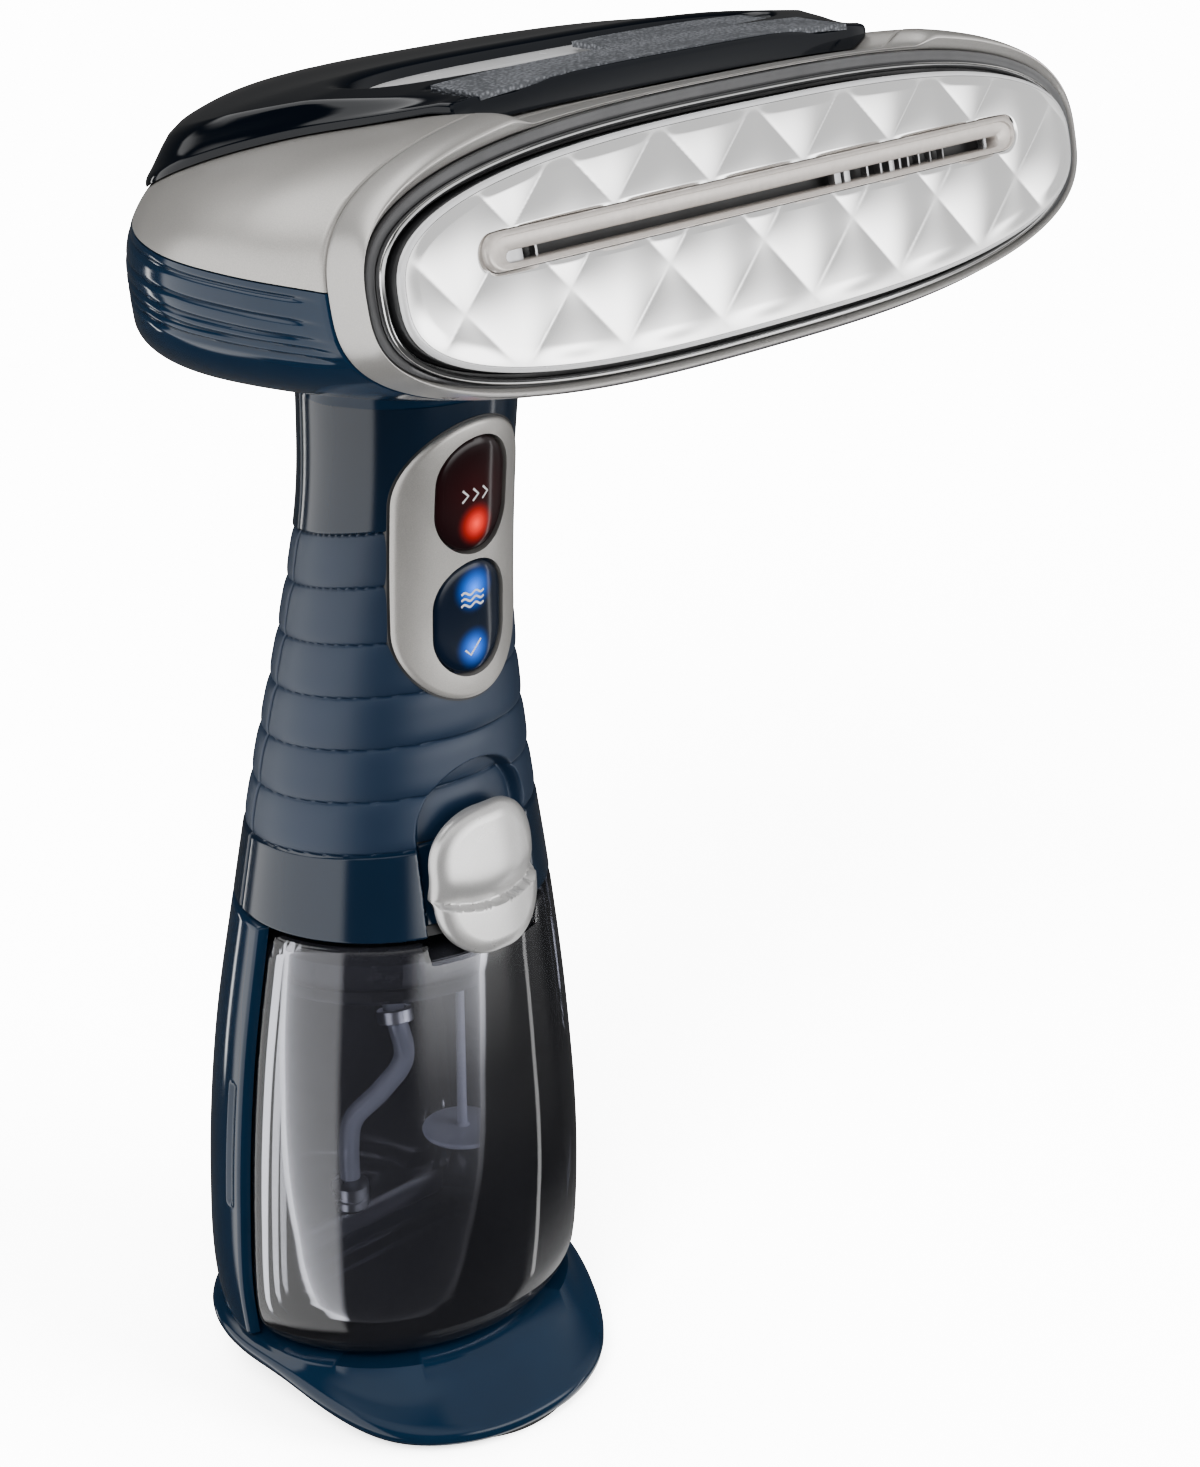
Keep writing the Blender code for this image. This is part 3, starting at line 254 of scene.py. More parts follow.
class Finish:
    """One node material, built up a layer at a time."""

    def __init__(self, name, colour, roughness, metallic=0.0, coat=0.0, specular=0.5):
        self.made = bpy.data.materials.new(name)
        self.made.use_nodes = True
        self.tree = self.made.node_tree
        self.inputs = self.tree.nodes["Principled BSDF"].inputs
        self.colour = colour
        self.roughness = roughness
        values = (("Base Color", (*colour, 1)), ("Roughness", roughness), ("Metallic", metallic))
        values += (("Coat Weight", coat), ("Coat Roughness", 0.04), ("Specular IOR Level", specular))
        for socket, value in values:
            self.inputs[socket].default_value = value
        self.place = self.add("TexCoord").outputs["Object"]

    def add(self, kind, inputs=None, **settings):
        return add_node(self.tree, kind, inputs, **settings)

    def feed(self, value, socket):
        self.tree.links.new(value, self.inputs[socket])

    def noise(self, scale, detail=3.0):
        inputs = {"Scale": scale, "Detail": detail, "Roughness": 0.6, "Vector": self.place}
        return self.add("TexNoise", inputs).outputs["Fac"]

    def remap(self, value, low, high, first=0.3, last=0.7):
        inputs = {"From Min": first, "From Max": last, "To Min": low, "To Max": high, "Value": value}
        return self.add("MapRange", inputs).outputs["Result"]

    def mix(self, share, first, second, blend="MIX"):
        """A colour between two, or their sum; each is a colour or a socket."""
        node = self.add("Mix", {"Factor": share}, data_type="RGBA", blend_type=blend)
        targets = [i for i in node.inputs if i.type == "RGBA"]
        for target, value in zip(targets, (first, second)):
            if isinstance(value, tuple):
                target.default_value = (*value, 1)
            else:
                self.tree.links.new(value, target)
        return [o for o in node.outputs if o.type == "RGBA"][0]

    def vary(self, scale, amount, detail=3.0):
        """Patches of slightly lighter and darker colour."""
        dark = tuple(c * (1 - amount) for c in self.colour)
        light = tuple(min(1.0, c * (1 + amount)) for c in self.colour)
        self.feed(self.mix(self.remap(self.noise(scale, detail), 0, 1), dark, light), "Base Color")
        return self

    def wear(self, scale, amount):
        """Smudges that make the gloss uneven."""
        low, high = max(0.02, self.roughness - amount), self.roughness + amount
        self.feed(self.remap(self.noise(scale, 4.0), low, high), "Roughness")
        return self

    def bump(self, socket, distance, strength=1.0):
        node = self.add("Bump", {"Distance": distance, "Strength": strength, "Height": socket})
        self.feed(node.outputs["Normal"], "Normal")

    def grain(self, scale, distance, strength=0.5):
        self.bump(self.noise(scale, 2.0), distance, strength)


# Name, colour, then (roughness, metallic, coat, specular), patches, smudges and grain.
FINISHES = {
    "silver": (
        "satin_silver",
        (0.46, 0.443, 0.42), (0.36, 0.5, 0.1, 0.4), (5200, 0.14), (60, 0.04), (3600, 0.00002),
    ),
    "bezel": (
        "bezel_silver",
        (0.48, 0.465, 0.445), (0.3, 0.5, 0.1, 0.4), (5200, 0.1), (50, 0.04), (3600, 0.000015),
    ),
    "navy": (
        "gloss_navy",
        (0.0036, 0.019, 0.046), (0.09, 0.0, 0.0, 0.27), (35, 0.1), (40, 0.03), (420, 0.00001, 0.25),
    ),
    "cover": (
        "cover_navy",
        (0.001, 0.0024, 0.0052), (0.09, 0.0, 0.0, 0.22), (35, 0.1), (45, 0.03), (420, 0.00001, 0.25),
    ),
    "plate": (
        "polished_plate", (0.86, 0.855, 0.85), (0.13, 1.0), (25, 0.03), (30, 0.03), (900, 0.000004, 0.3)
    ),
    "chrome": ("bright_chrome", (0.88, 0.88, 0.88), (0.07, 1.0), (), (60, 0.03), ()),
    "channel": ("dark_channel", (0.03, 0.03, 0.032), (0.35,), (300, 0.15), (80, 0.06), ()),
    "frame": ("slot_rim", (0.62, 0.57, 0.53), (0.34, 0.35), (900, 0.06), (90, 0.05), ()),
    # Near-white in place of silver and plate metal: painted highlight, used on the top badge and the plate
    # rim.
    "badge": ("painted_highlight_white", (0.82, 0.82, 0.83), (0.25, 0.15), (60, 0.03), (60, 0.04), ()),
    "black": ("moulded_black", (0.01, 0.01, 0.011), (0.42,), (200, 0.2), (120, 0.08), (2400, 0.00002)),
    "rubber": ("foot_rubber", (0.018, 0.018, 0.019), (0.72,), (260, 0.2), (150, 0.08), (1800, 0.00004)),
    "steel": ("steel", (0.55, 0.55, 0.56), (0.3, 1.0), (300, 0.08), (200, 0.08), ()),
    "brass": ("brass", (0.62, 0.44, 0.17), (0.32, 1.0), (150, 0.1), (150, 0.08), ()),
    "copper": ("copper_coil", (0.58, 0.24, 0.1), (0.38, 1.0), (700, 0.15), (300, 0.08), ()),
    "cast": ("cast_aluminium", (0.46, 0.46, 0.47), (0.5, 0.9), (300, 0.12), (200, 0.1), (900, 0.00008)),
    "foil": ("shield_sheet", (0.66, 0.66, 0.67), (0.36, 0.95), (120, 0.06), (120, 0.08), ()),
    "cream": ("ceramic_cream", (0.72, 0.67, 0.57), (0.55,), (400, 0.08), (200, 0.08), ()),
    "white": ("moulded_white", (0.55, 0.56, 0.57), (0.38,), (200, 0.06), (150, 0.06), ()),
    "disc": ("disc_grey", (0.6, 0.62, 0.72), (0.35,), (150, 0.08), (120, 0.06), ()),
    "board": ("board_green", (0.015, 0.1, 0.04), (0.45,), (900, 0.3), (300, 0.1), ()),
    "lamp": ("lamp_lens", (0.7, 0.7, 0.72), (0.2,), (300, 0.05), (), ()),
    "dark_latch": (
        "latch_silver",
        (0.6, 0.592, 0.585), (0.3, 0.6, 0.2), (5200, 0.1), (60, 0.04), (3600, 0.000015),
    ),
    "bay": ("bay_wall", (0.1, 0.106, 0.13), (0.4,), (60, 0.2), (60, 0.08), ()),
}


def shared_finishes():
    made = {}
    for key, (name, colour, gloss, patches, smudges, grain) in FINISHES.items():
        made[key] = finish = Finish(name, colour, *gloss)
        if patches:
            finish.vary(*patches)
        if smudges:
            finish.wear(*smudges)
        if grain:
            finish.grain(*grain)
    return made


def grip_finish():
    """Glossy navy, with satin between the first and last groove line of the grip."""
    f = Finish("grip_navy", (0.0028, 0.012, 0.029), 0.09, 0.0, 0.0, 0.42)
    split = f.add("SeparateXYZ", {0: f.place}).outputs

    def level(line):
        height = f.add("Math", {0: split["Y"], 1: -line[1], 2: split["Z"]}, operation="MULTIPLY_ADD")
        return f.remap(height.outputs[0], 0, 1, line[0] - 0.0003, line[0] + 0.0003)

    ends = {0: level(GRIP_LINES[0]), 1: level(GRIP_LINES[-1])}
    inside = f.add("Math", ends, operation="SUBTRACT", use_clamp=True).outputs[0]
    blotch = f.remap(f.noise(45), 0, 1)
    gloss = f.mix(blotch, (0.0026, 0.011, 0.027), (0.003, 0.013, 0.031))
    satin = f.mix(blotch, (0.0048, 0.0165, 0.04), (0.0056, 0.0185, 0.044))
    f.feed(f.mix(inside, gloss, satin), "Base Color")
    f.feed(f.remap(inside, 0.13, 0.42, 0, 1), "Roughness")
    f.grain(2600, 0.000012, 0.4)
    return f


def pebble_finish():
    f = Finish("pebbled_grey", (0.11, 0.115, 0.125), 0.55)
    cells = f.add("TexVoronoi", {"Scale": 1150, "Randomness": 0.55, "Vector": f.place})
    share = f.remap(cells.outputs["Distance"], 1, 0, 0.1, 0.6)
    f.feed(f.mix(share, (0.06, 0.064, 0.072), (0.24, 0.25, 0.275)), "Base Color")
    f.bump(share, 0.00025)
    return f


def smoked_finish(name, through, haze, share):
    """Smoked clear plastic: partly see-through, faintly milky, with a glossy skin."""
    f = Finish(name, haze, 0.3)
    clear = f.add("BsdfTransparent", {"Color": (*through, 1)}).outputs[0]
    milk = f.add("BsdfDiffuse", {"Color": (*haze, 1)}).outputs[0]
    skin = f.add("BsdfGlossy", {"Roughness": 0.03}).outputs[0]
    patches = f.remap(f.noise(14, 2), share - 0.04, share + 0.04)
    body = f.add("MixShader", {0: patches, 1: clear, 2: milk}).outputs[0]
    shine = f.add("Fresnel", {"IOR": 1.5}).outputs[0]
    whole = f.add("MixShader", {0: shine, 1: body, 2: skin}).outputs[0]
    f.tree.links.new(whole, f.tree.nodes["Material Output"].inputs["Surface"])
    f.tree.nodes.remove(f.tree.nodes["Principled BSDF"])
    return f


def window_finish(name, base, glows):
    """A near-black tinted window with round soft lights behind it: (x, z, radius, colour, strength)."""
    f = Finish(name, base, 0.12, 0.0, 0.0, 0.22)
    split = f.add("SeparateXYZ", {0: f.place}).outputs
    spot = f.add("CombineXYZ", {"X": split["X"], "Y": split["Z"]}).outputs[0]
    total = None
    for x, z, radius, colour, strength in glows:
        away = f.add("VectorMath", {0: spot, 1: (x, z, 0)}, operation="DISTANCE").outputs["Value"]
        near = f.remap(away, 1, 0, 0, radius)
        soft = f.add("Math", {0: near, 1: 2.2}, operation="POWER").outputs[0]
        lit = f.mix(soft, (0.0, 0.0, 0.0), tuple(c * strength for c in colour))
        total = lit if total is None else f.mix(1.0, total, lit, "ADD")
    f.feed(total, "Emission Color")
    f.inputs["Emission Strength"].default_value = 1.0
    return f


# Mesh helpers.


def power(value, exponent):
    return np.sign(value) * np.abs(value) ** exponent


def round_turn(count):
    """Evenly spaced angles once round."""
    return np.linspace(0, 2 * math.pi, count, endpoint=False)


def turned_in(count, first, second, both=True):
    """How far the outermost and the next row of a skin sink, so that its border turns inwards."""
    row = np.arange(count)
    if both:
        row = np.minimum(row, row[::-1])
    return np.where(row < 1, first, np.where(row < 2, second, 0.0))


def smooth(table, at):
    """Rows of a table on a smooth curve, at one or many places."""
    place, values = table[:, 0], table[:, 1:]
    slopes = np.gradient(values, place, axis=0)
    at = np.atleast_1d(np.asarray(at, float))
    i = np.clip(np.searchsorted(place, at) - 1, 0, len(place) - 2)
    span = (place[i + 1] - place[i])[:, None]
    u = (at[:, None] - place[i][:, None]) / span
    a, b = 2 * u**3 - 3 * u**2 + 1, u**3 - 2 * u**2 + u
    c, d = -2 * u**3 + 3 * u**2, u**3 - u**2
    return a * values[i] + b * span * slopes[i] + c * values[i + 1] + d * span * slopes[i + 1]


def fade(value, full, none):
    share = np.clip((none - np.asarray(value, float)) / (none - full), 0.0, 1.0)
    return share * share * (3 - 2 * share)


def make(name, points, faces, finish, body="housing", nodes=(), slot=None, sharp=38):
    mesh = bpy.data.meshes.new(name)
    mesh.from_pydata(np.asarray(points, float).reshape(-1, 3).tolist(), [], faces)
    work = bmesh.new()
    work.from_mesh(mesh)
    bmesh.ops.remove_doubles(work, verts=work.verts, dist=2e-7)
    bmesh.ops.dissolve_degenerate(work, edges=work.edges, dist=1e-7)
    bmesh.ops.recalc_face_normals(work, faces=work.faces)
    if work.calc_volume(signed=True) < 0:
        bmesh.ops.reverse_faces(work, faces=work.faces)
    work.to_mesh(mesh)
    work.free()
    mesh.shade_smooth()
    mesh.set_sharp_from_angle(angle=math.radians(sharp))
    mesh.materials.append(finish.made)
    obj = bpy.data.objects.new(name, mesh)
    scene.collection.objects.link(obj)
    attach(obj, body)
    if nodes:
        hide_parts(*nodes)
    return obj


def quads(rows, cols, wrap_rows, wrap_cols):
    r = np.arange(rows if wrap_rows else rows - 1)[:, None]
    c = np.arange(cols if wrap_cols else cols - 1)[None, :]
    a = r * cols + c
    b = r * cols + (c + 1) % cols
    d = ((r + 1) % rows) * cols + c
    e = ((r + 1) % rows) * cols + (c + 1) % cols
    return np.stack([a, b, e, d], -1).reshape(-1, 4).tolist()


def rings(name, loops, finish, closed=False, **how):
    """A body through closed loops: capped at both ends, or closed back on itself."""
    loops = np.asarray(loops)
    rows, cols = loops.shape[:2]
    faces = quads(rows, cols, closed, True)
    if not closed:
        faces.append(list(range(cols)))
        faces.append(list(range((rows - 1) * cols, rows * cols)))
    return make(name, loops, faces, finish, **how)


def skin(name, grid, finish, **how):
    """An open grid of points given as a thin surface whose border is turned inwards."""
    rows, cols = grid.shape[:2]
    return make(name, grid, quads(rows, cols, False, False), finish, **how)


def in_head(x, s, v):
    x, s, v = np.broadcast_arrays(np.asarray(x, float), np.asarray(s, float), np.asarray(v, float))
    c, n = math.cos(TILT), math.sin(TILT)
    return np.stack([x + FACE[0], FACE[1] + s * c + v * n, FACE[2] - s * n + v * c], -1)


def oval(half, rise, drop, turn, up_power=OVAL, low_power=None):
    low_power = low_power or up_power
    shape = np.where(np.sin(turn) >= 0, 2 / up_power, 2 / low_power)
    return half * power(np.cos(turn), shape), np.where(
        np.sin(turn) >= 0, rise, drop
    ) * power(np.sin(turn), shape)


def even(x, v, places):
    """Points along a line at given shares of its length, or a number of equal steps."""
    length = np.concatenate([[0], np.cumsum(np.hypot(np.diff(x), np.diff(v)))])
    if np.isscalar(places):
        places = np.linspace(0, 1, places)
    return np.interp(places * length[-1], length, x), np.interp(places * length[-1], length, v)


def face_oval(grow, count=260):
    turn = np.linspace(0, 2 * math.pi, 4001)
    x, v = oval(PLATE_W + grow, PLATE_H + grow, PLATE_H + grow, turn)
    x, v = even(x, v, count + 1)
    return x[:-1], v[:-1]


def face_loops(profile, count=260):
    """Rings round the plate from pairs of growth and depth."""
    return [in_head(x, depth, v) for grow, depth in profile for x, v in [face_oval(grow, count)]]


def scoop(x, s, share):
    reach = fade(np.abs(x), *SCOOP_X) * fade(s, *SCOOP_S)
    return SCOOP_DEPTH * reach * np.clip(share, 0.0, 1.0) ** 3


def head_sizes(s):
    half, rise, drop, up_power, low_power = smooth(HEAD, min(s, 0.128))[0]
    if s > 0.1215:
        round_end = math.sqrt(max(0.0004, 1 - ((s - 0.1215) / 0.008) ** 2))
        half, rise, drop, up_power, low_power = smooth(HEAD, 0.1215)[0]
        half, rise, drop = half * round_end, rise * round_end, drop * round_end
    return half, rise, drop, up_power, low_power


def head_line(s, part, places, inset=0.0, gap=0.00015):
    """The part of the head's outline above or below the level split, at one depth."""
    half, rise, drop, up_power, low_power = head_sizes(s)
    half, rise, drop = half - inset, rise - inset, drop - inset
    edge = (s * math.sin(TILT) + (gap if part == "upper" else -gap)) / math.cos(TILT)
    start = math.asin(min(1.0, max(0.0, edge / rise)) ** (up_power / 2))
    if part == "upper":
        turn = np.linspace(start, math.pi - start, 3000)
    else:
        turn = np.linspace(math.pi - start, 2 * math.pi + start, 3000)
    x, v = oval(half, rise, drop, turn, up_power, low_power)
    v = v - scoop(x, s, v / rise)
    return even(x, v, places)


# Steam face.


def quilt(x, v):
    """Height of the pillowed diamonds, with a crease between neighbours."""
    pitch, tall = 0.0232, 0.0231
    x = x + 0.0008 + 0.09 * (0.0188 - v)
    a = x / pitch + (v - 0.0188) / tall
    b = x / pitch - (v - 0.0188) / tall
    fa, fb = a - np.floor(a) - 0.5, b - np.floor(b) - 0.5
    return 0.0005 * (np.cos(math.pi * fa) * np.cos(math.pi * fb)) ** 0.8


def stadium(half_x, half_v, radius, count):
    """Rounded rectangle, points evenly spaced, starting at +X and turning towards +V."""
    radius = min(radius, half_x, half_v)
    corner = np.linspace(0, math.pi / 2, 60)
    x, v = [], []
    for k, (cx, cv) in enumerate(((1, 1), (-1, 1), (-1, -1), (1, -1))):
        x.append(cx * (half_x - radius) + radius * np.cos(corner + k * math.pi / 2))
        v.append(cv * (half_v - radius) + radius * np.sin(corner + k * math.pi / 2))
    x, v = np.concatenate([[half_x], *x, [half_x]]), np.concatenate([[0.0], *v, [0.0]])
    x, v = even(x, v, count + 1)
    return x[:-1], v[:-1]


def make_plate(f):
    count, steps = 900, 60
    outer_x, outer_v = face_oval(-0.001, count)
    inner_x, inner_v = stadium(SLOT_L + 0.0016, SLOT_H + 0.0004, 0.01, count)
    inner_v = inner_v + SLOT_UP
    loops = []
    for share in np.linspace(0, 1, steps):
        x = inner_x + (outer_x - inner_x) * share
        v = inner_v + (outer_v - inner_v) * share
        edge = fade(share, 0.82, 1.0) * fade(1 - share, 0.95, 1.0)
        crown = 0.0002 * (1 - (x / PLATE_W) ** 2) * (1 - (v / PLATE_H) ** 2)
        depth = -0.0004 - crown - quilt(x, v) * edge
        loops.append(in_head(x, depth, v))
    loops += face_loops(((-0.001, 0.0002), (-0.0014, 0.0008), (-0.0014, 0.004)), count)
    loops.append(in_head(inner_x, 0.004, inner_v))
    # The plate's rounded rim is near-white rather than polished metal: painted highlight along its edge.
    rim = [(-0.001, 0.0004), (-0.0009, -0.0004), (-0.0005, -0.0003)]
    rim = face_loops(rim + [(-0.0001, 0.0001), (0.0, 0.0006), (-0.0006, 0.0009)])
    rings("plate_rim", rim, f["badge"], closed=True, slot="polished_plate")
    # The plate's side skirt is black rather than plate metal: painted shade for the dark gap round the
    # proud plate.
    skirt = face_loops(
        ((-0.0012, 0.001), (-0.0002, 0.001), (0.0, 0.0014), (0.0, 0.004), (-0.0012, 0.004))
    )
    rings("plate_skirt", skirt, f["black"], closed=True, slot="polished_plate")
    rings(
        "steam_plate_skin", loops, f["plate"], closed=True, nodes=["steam_plate"],
        slot="polished_plate", sharp=60,
    )


def make_slot(f):
    """Rim round a narrow dark slot that lies low in it, with ribs and end blocks inside."""
    count = 360
    outer_x, outer_v = stadium(SLOT_L + 0.0014, SLOT_H + 0.0002, 0.01, count)
    inner_x, inner_v = stadium(0.0622, 0.001, 0.01, count)
    outer_v, inner_v = outer_v + SLOT_UP, inner_v + SLOT_V
    profile = (
        (0.0, 0.004), (0.0, -0.001), (0.06, -0.0015), (0.14, -0.0017), (0.24, -0.0017), (0.28, -0.0013),
    )
    profile += ((0.34, -0.0013), (0.9, -0.001), (0.97, -0.0008), (1.0, -0.0004), (1.0, 0.004))
    loops = []
    for share, depth in profile:
        x = outer_x + (inner_x - outer_x) * share
        v = outer_v + (inner_v - outer_v) * share
        loops.append(in_head(x, depth, v))
    rings("slot_rim", loops, f["frame"], closed=True, nodes=["slot_frame"], slot="satin_silver", sharp=50)
    x, v = stadium(0.064, 0.0022, 0.01, 120)
    rings("slot_back", [in_head(x, d, v + SLOT_V) for d in (0.0034, 0.0038)], f["black"])
    # Middle, width and depth of the front face of each rib.
    bars = [(-0.0598, 0.0042, 0.0002), (-0.054, 0.0006, 0.001)]
    bars += [
        (0.019, 0.0018, 0.0004), (0.0212, 0.0016, 0.0001), (0.0275, 0.0006, 0.0008),
        (0.0312, 0.0006, 0.0008),
    ]
    bars += [
        (0.0335, 0.0014, 0.0002), (0.0362, 0.0006, 0.0006), (0.0385, 0.0005, 0.0006),
        (0.042, 0.0005, 0.001),
    ]
    bars += [(0.0452, 0.0004, 0.001), (0.049, 0.0004, 0.0012), (0.06, 0.001, 0.0003)]
    points, faces = [], []
    for middle, wide, front in bars:
        x, s = stadium(wide / 2, 0.0008, 0.0002, 16)
        base = len(points)
        for v in (SLOT_V - 0.002, SLOT_V + 0.002):
            points.extend(in_head(x + middle, s + front + 0.0008, v).tolist())
        faces += [
            [base + k, base + (k + 1) % 16, base + 16 + (k + 1) % 16, base + 16 + k] for k in range(16)
        ]
        faces += [list(range(base, base + 16)), list(range(base + 16, base + 32))]
    make("slot_ribs", points, faces, f["steel"], nodes=["slot_grille"], slot="steel")


def make_face_rings(f):
    def hoop(name, profile, finish, node, slot):
        loops = []
        for grow, depth in profile:
            x, v = face_oval(grow)
            v = v + 0.95 * max(0.0, grow - 0.0021) * np.clip(-v / PLATE_H, 0, 1) ** 2
            loops.append(in_head(x, depth, v))
        rings(name, loops, finish, closed=True, nodes=[node], slot=slot, sharp=50)

    chrome = [
        (0.0009, 0.004), (0.0008, 0.0025), (0.001, 0.0021), (0.0014, 0.0019), (0.0018, 0.0021),
        (0.002, 0.0025), (0.002, 0.004),
    ]
    hoop("plate_line", chrome, f["chrome"], "plate_trim_ring", "bright_chrome")
    channel = [
        (0.0021, 0.004), (0.0021, 0.0034), (0.0026, 0.0031), (0.0034, 0.0032), (0.0041, 0.003),
        (0.0043, 0.0034), (0.0043, 0.004),
    ]
    hoop("bezel_channel", channel, f["channel"], "bezel_gasket", "dark_channel")
    # Black ring at the back of the gaps round the plate: painted shade deep in the gap.
    back = face_loops(((0.0042, 0.0042), (0.0042, 0.0046), (0.0002, 0.0046), (0.0002, 0.0042)))
    rings("gap_shade_floor", back, f["black"], closed=True)


def make_bezel(f):
    count = 600
    turn = np.linspace(0, 2 * math.pi, 6001)
    half, rise, drop = HEAD[0][1:4]
    inner, inner_v = PLATE_W + 0.0044, PLATE_H + 0.0044
    profile = [
        (0.0, 0.011), (0.0, 0.0046), (0.02, 0.004), (0.1, 0.0036), (0.22, 0.0033), (0.34, 0.0029),
    ]
    profile += [
        (0.42, 0.0026), (0.48, 0.0025), (0.54, 0.0025), (0.6, 0.0027), (0.66, 0.0031), (0.74, 0.0038),
    ]
    profile += [
        (0.82, 0.0048), (0.89, 0.0062), (0.95, 0.008), (0.99, 0.0102), (1.0, 0.0108), (0.97, 0.0111),
    ]
    profile += [(0.8, 0.0111), (0.3, 0.0111)]
    loops = []
    inner_x, inner_up = oval(inner, inner_v, inner_v - 0.0022, turn)
    for share, depth in profile:
        x, v = oval(half, rise, drop, turn)
        level = fade(np.abs(x), *SCOOP_X) * np.clip(v / rise, 0, 1) ** 3
        v = v - scoop(x, PART_S, v / rise)
        deep = depth + 0.001 * level * np.clip(share * 2.5, 0, 1) * fade(share, 0.8, 1.0)
        x, v = inner_x + share * (x - inner_x), inner_up + share * (v - inner_up)
        x, v, deep = x[:: 6000 // count][:-1], v[:: 6000 // count][:-1], deep[:: 6000 // count][:-1]
        loops.append(in_head(x, deep, v))
    turn = round_turn(360)
    # Black band just inside the parting between bezel and shells: painted shade that darkens the parting
    # line.
    band = []
    for inset, depth in ((0.0007, 0.0106), (0.0007, 0.0124), (0.0022, 0.0124), (0.0022, 0.0106)):
        x, v = oval(half - inset, rise - inset, drop - inset, turn)
        band.append(in_head(x, depth, v - scoop(x, PART_S, v / rise)))
    rings("parting_shade_band", band, f["black"], closed=True, slot="moulded_black")
    rings(
        "bezel_skin", loops, f["bezel"], closed=True, nodes=["front_bezel"], slot="satin_silver", sharp=45
    )


# Head shells.


def make_head(f):
    places = np.linspace(0, 1, 150)
    start = PART_S + 0.00025
    loops = [
        head_grid_line(start, "upper", places, 0.0024), head_grid_line(start, "upper", places, 0.0003)
    ]
    for s in np.concatenate([np.linspace(start + 0.0003, 0.096, 90), np.linspace(0.0965, 0.10375, 14)]):
        loops.append(head_grid_line(s, "upper", places, 0.0))
    skin("upper_shell", np.array(loops), f["silver"], nodes=["head_upper_housing"], slot="satin_silver")

    fine = np.arange(0, 0.015, 0.00022)
    loops = []
    depths = np.concatenate(
        [[start, start], np.linspace(start + 0.0003, 0.118, 110), np.linspace(0.119, 0.1294, 22)]
    )
    for row, s in enumerate(depths):
        total = 0.2 * max(0.05, head_sizes(s)[0] / 0.095)
        edge = fine / total
        edge = edge[edge < 0.3]
        edge = np.interp(np.linspace(0, 1, 68), np.linspace(0, 1, len(edge)), edge)
        places = np.concatenate([edge, np.linspace(edge[-1], 1 - edge[-1], 150)[1:-1], 1 - edge[::-1]])
        inset = (0.0024, 0.0003)[row] if row < 2 else 0.0
        loops.append(head_grid_line(s, "lower", places, inset, grooves=True))
    skin("lower_shell", np.array(loops), f["navy"], nodes=["head_lower_housing"], slot="gloss_navy")


def head_grid_line(s, part, places, inset, grooves=False):
    """One line of a shell: its outline, with both ends turned into the split."""
    x, v = head_line(s, part, places, inset)
    if grooves:
        level = in_head(x, s, v)[:, 2]
        down = SPLIT_Z - level
        depth = sum(np.exp(-(((down - line) / 0.00042) ** 2)) for line in HEAD_LINES) * 0.00055
        depth = depth * fade(-s, -0.02, -0.0125) * fade(s, 0.1, 0.118)
        slope = np.stack([np.gradient(v), -np.gradient(x)], -1)
        slope /= np.linalg.norm(slope, axis=1)[:, None] + 1e-12
        outward = slope * np.sign((slope * np.stack([x, v], -1)).sum(1))[:, None]
        x, v = x - outward[:, 0] * depth, v - outward[:, 1] * depth
    line = in_head(x, s, v)
    turned_x, turned_v = head_line(s, part, np.array([0.0, 1.0]), inset + 0.0022)
    ends = in_head(turned_x, s, turned_v)
    return np.concatenate([ends[:1], line, ends[1:]])


def under_head(x, y):
    """Height of the head's underside above a place in plan."""
    v = np.full(np.shape(x), -0.02)
    for _ in range(30):
        s = (y + 0.105 - v * math.sin(TILT)) / math.cos(TILT)
        sizes = smooth(HEAD, np.clip(s, 0.0115, 0.1215).ravel()).reshape(*np.shape(x), 5)
        half, drop, low = sizes[..., 0], sizes[..., 2], sizes[..., 4]
        share = np.clip(1 - np.clip(np.abs(x) / half, 0, 0.999) ** low, 0.0, 1.0)
        v = 0.5 * v - 0.5 * drop * share ** (1 / low)
    return 0.283 - s * math.sin(TILT) + v * math.cos(TILT)


def make_neck(f):
    turn = round_turn(160)
    half, middle = smooth(BODY, 0.245)[0]
    grow = 0.0085
    flare_x = (half + grow) * np.cos(turn)
    flare_y = middle + (half * BODY_DEPTH + grow * 0.8) * np.sin(turn)
    top = under_head(flare_x, flare_y) + 0.0002
    meet = under_head(half * np.cos(turn), middle + half * BODY_DEPTH * np.sin(turn))
    loops = []
    for z in (0.23, 0.231, 0.233):
        loops.append(body_loop(z, turn, 0.00012))
    side_low = np.minimum(meet - 0.0085, 0.262)
    for share in (0.35, 0.7, 1.0):
        z = 0.233 + (side_low - 0.233) * share
        h, m = smooth(BODY, np.clip(z, 0.2, 0.262)).T
        loops.append(np.stack([h * np.cos(turn), m + BODY_DEPTH * h * np.sin(turn), z], -1))
    low = loops[-1]
    corner = low.copy()
    corner[:, 2] = meet
    far = np.stack([flare_x, flare_y, top], -1)
    for u in np.linspace(0, 1, 12)[1:]:
        loops.append(low * (1 - u) ** 2 + corner * 2 * u * (1 - u) + far * u * u)
    inward = far.copy()
    inward[:, 2] += 0.002
    loops.append(inward)
    rings("neck_skin", loops, f["navy"], slot="gloss_navy", sharp=60)


# Top cover.


def top_rise(x, s):
    """Height of the upper shell above the centre line, on arrays."""
    sizes = smooth(HEAD, np.clip(s, PART_S, 0.128).ravel())
    half, rise, square = (sizes[:, k].reshape(np.shape(s)) for k in (0, 1, 3))
    share = np.minimum(0.999, np.abs(x) / half)
    level = (1 - share**square) ** (1 / square)
    return rise * level - scoop(x, s, level)


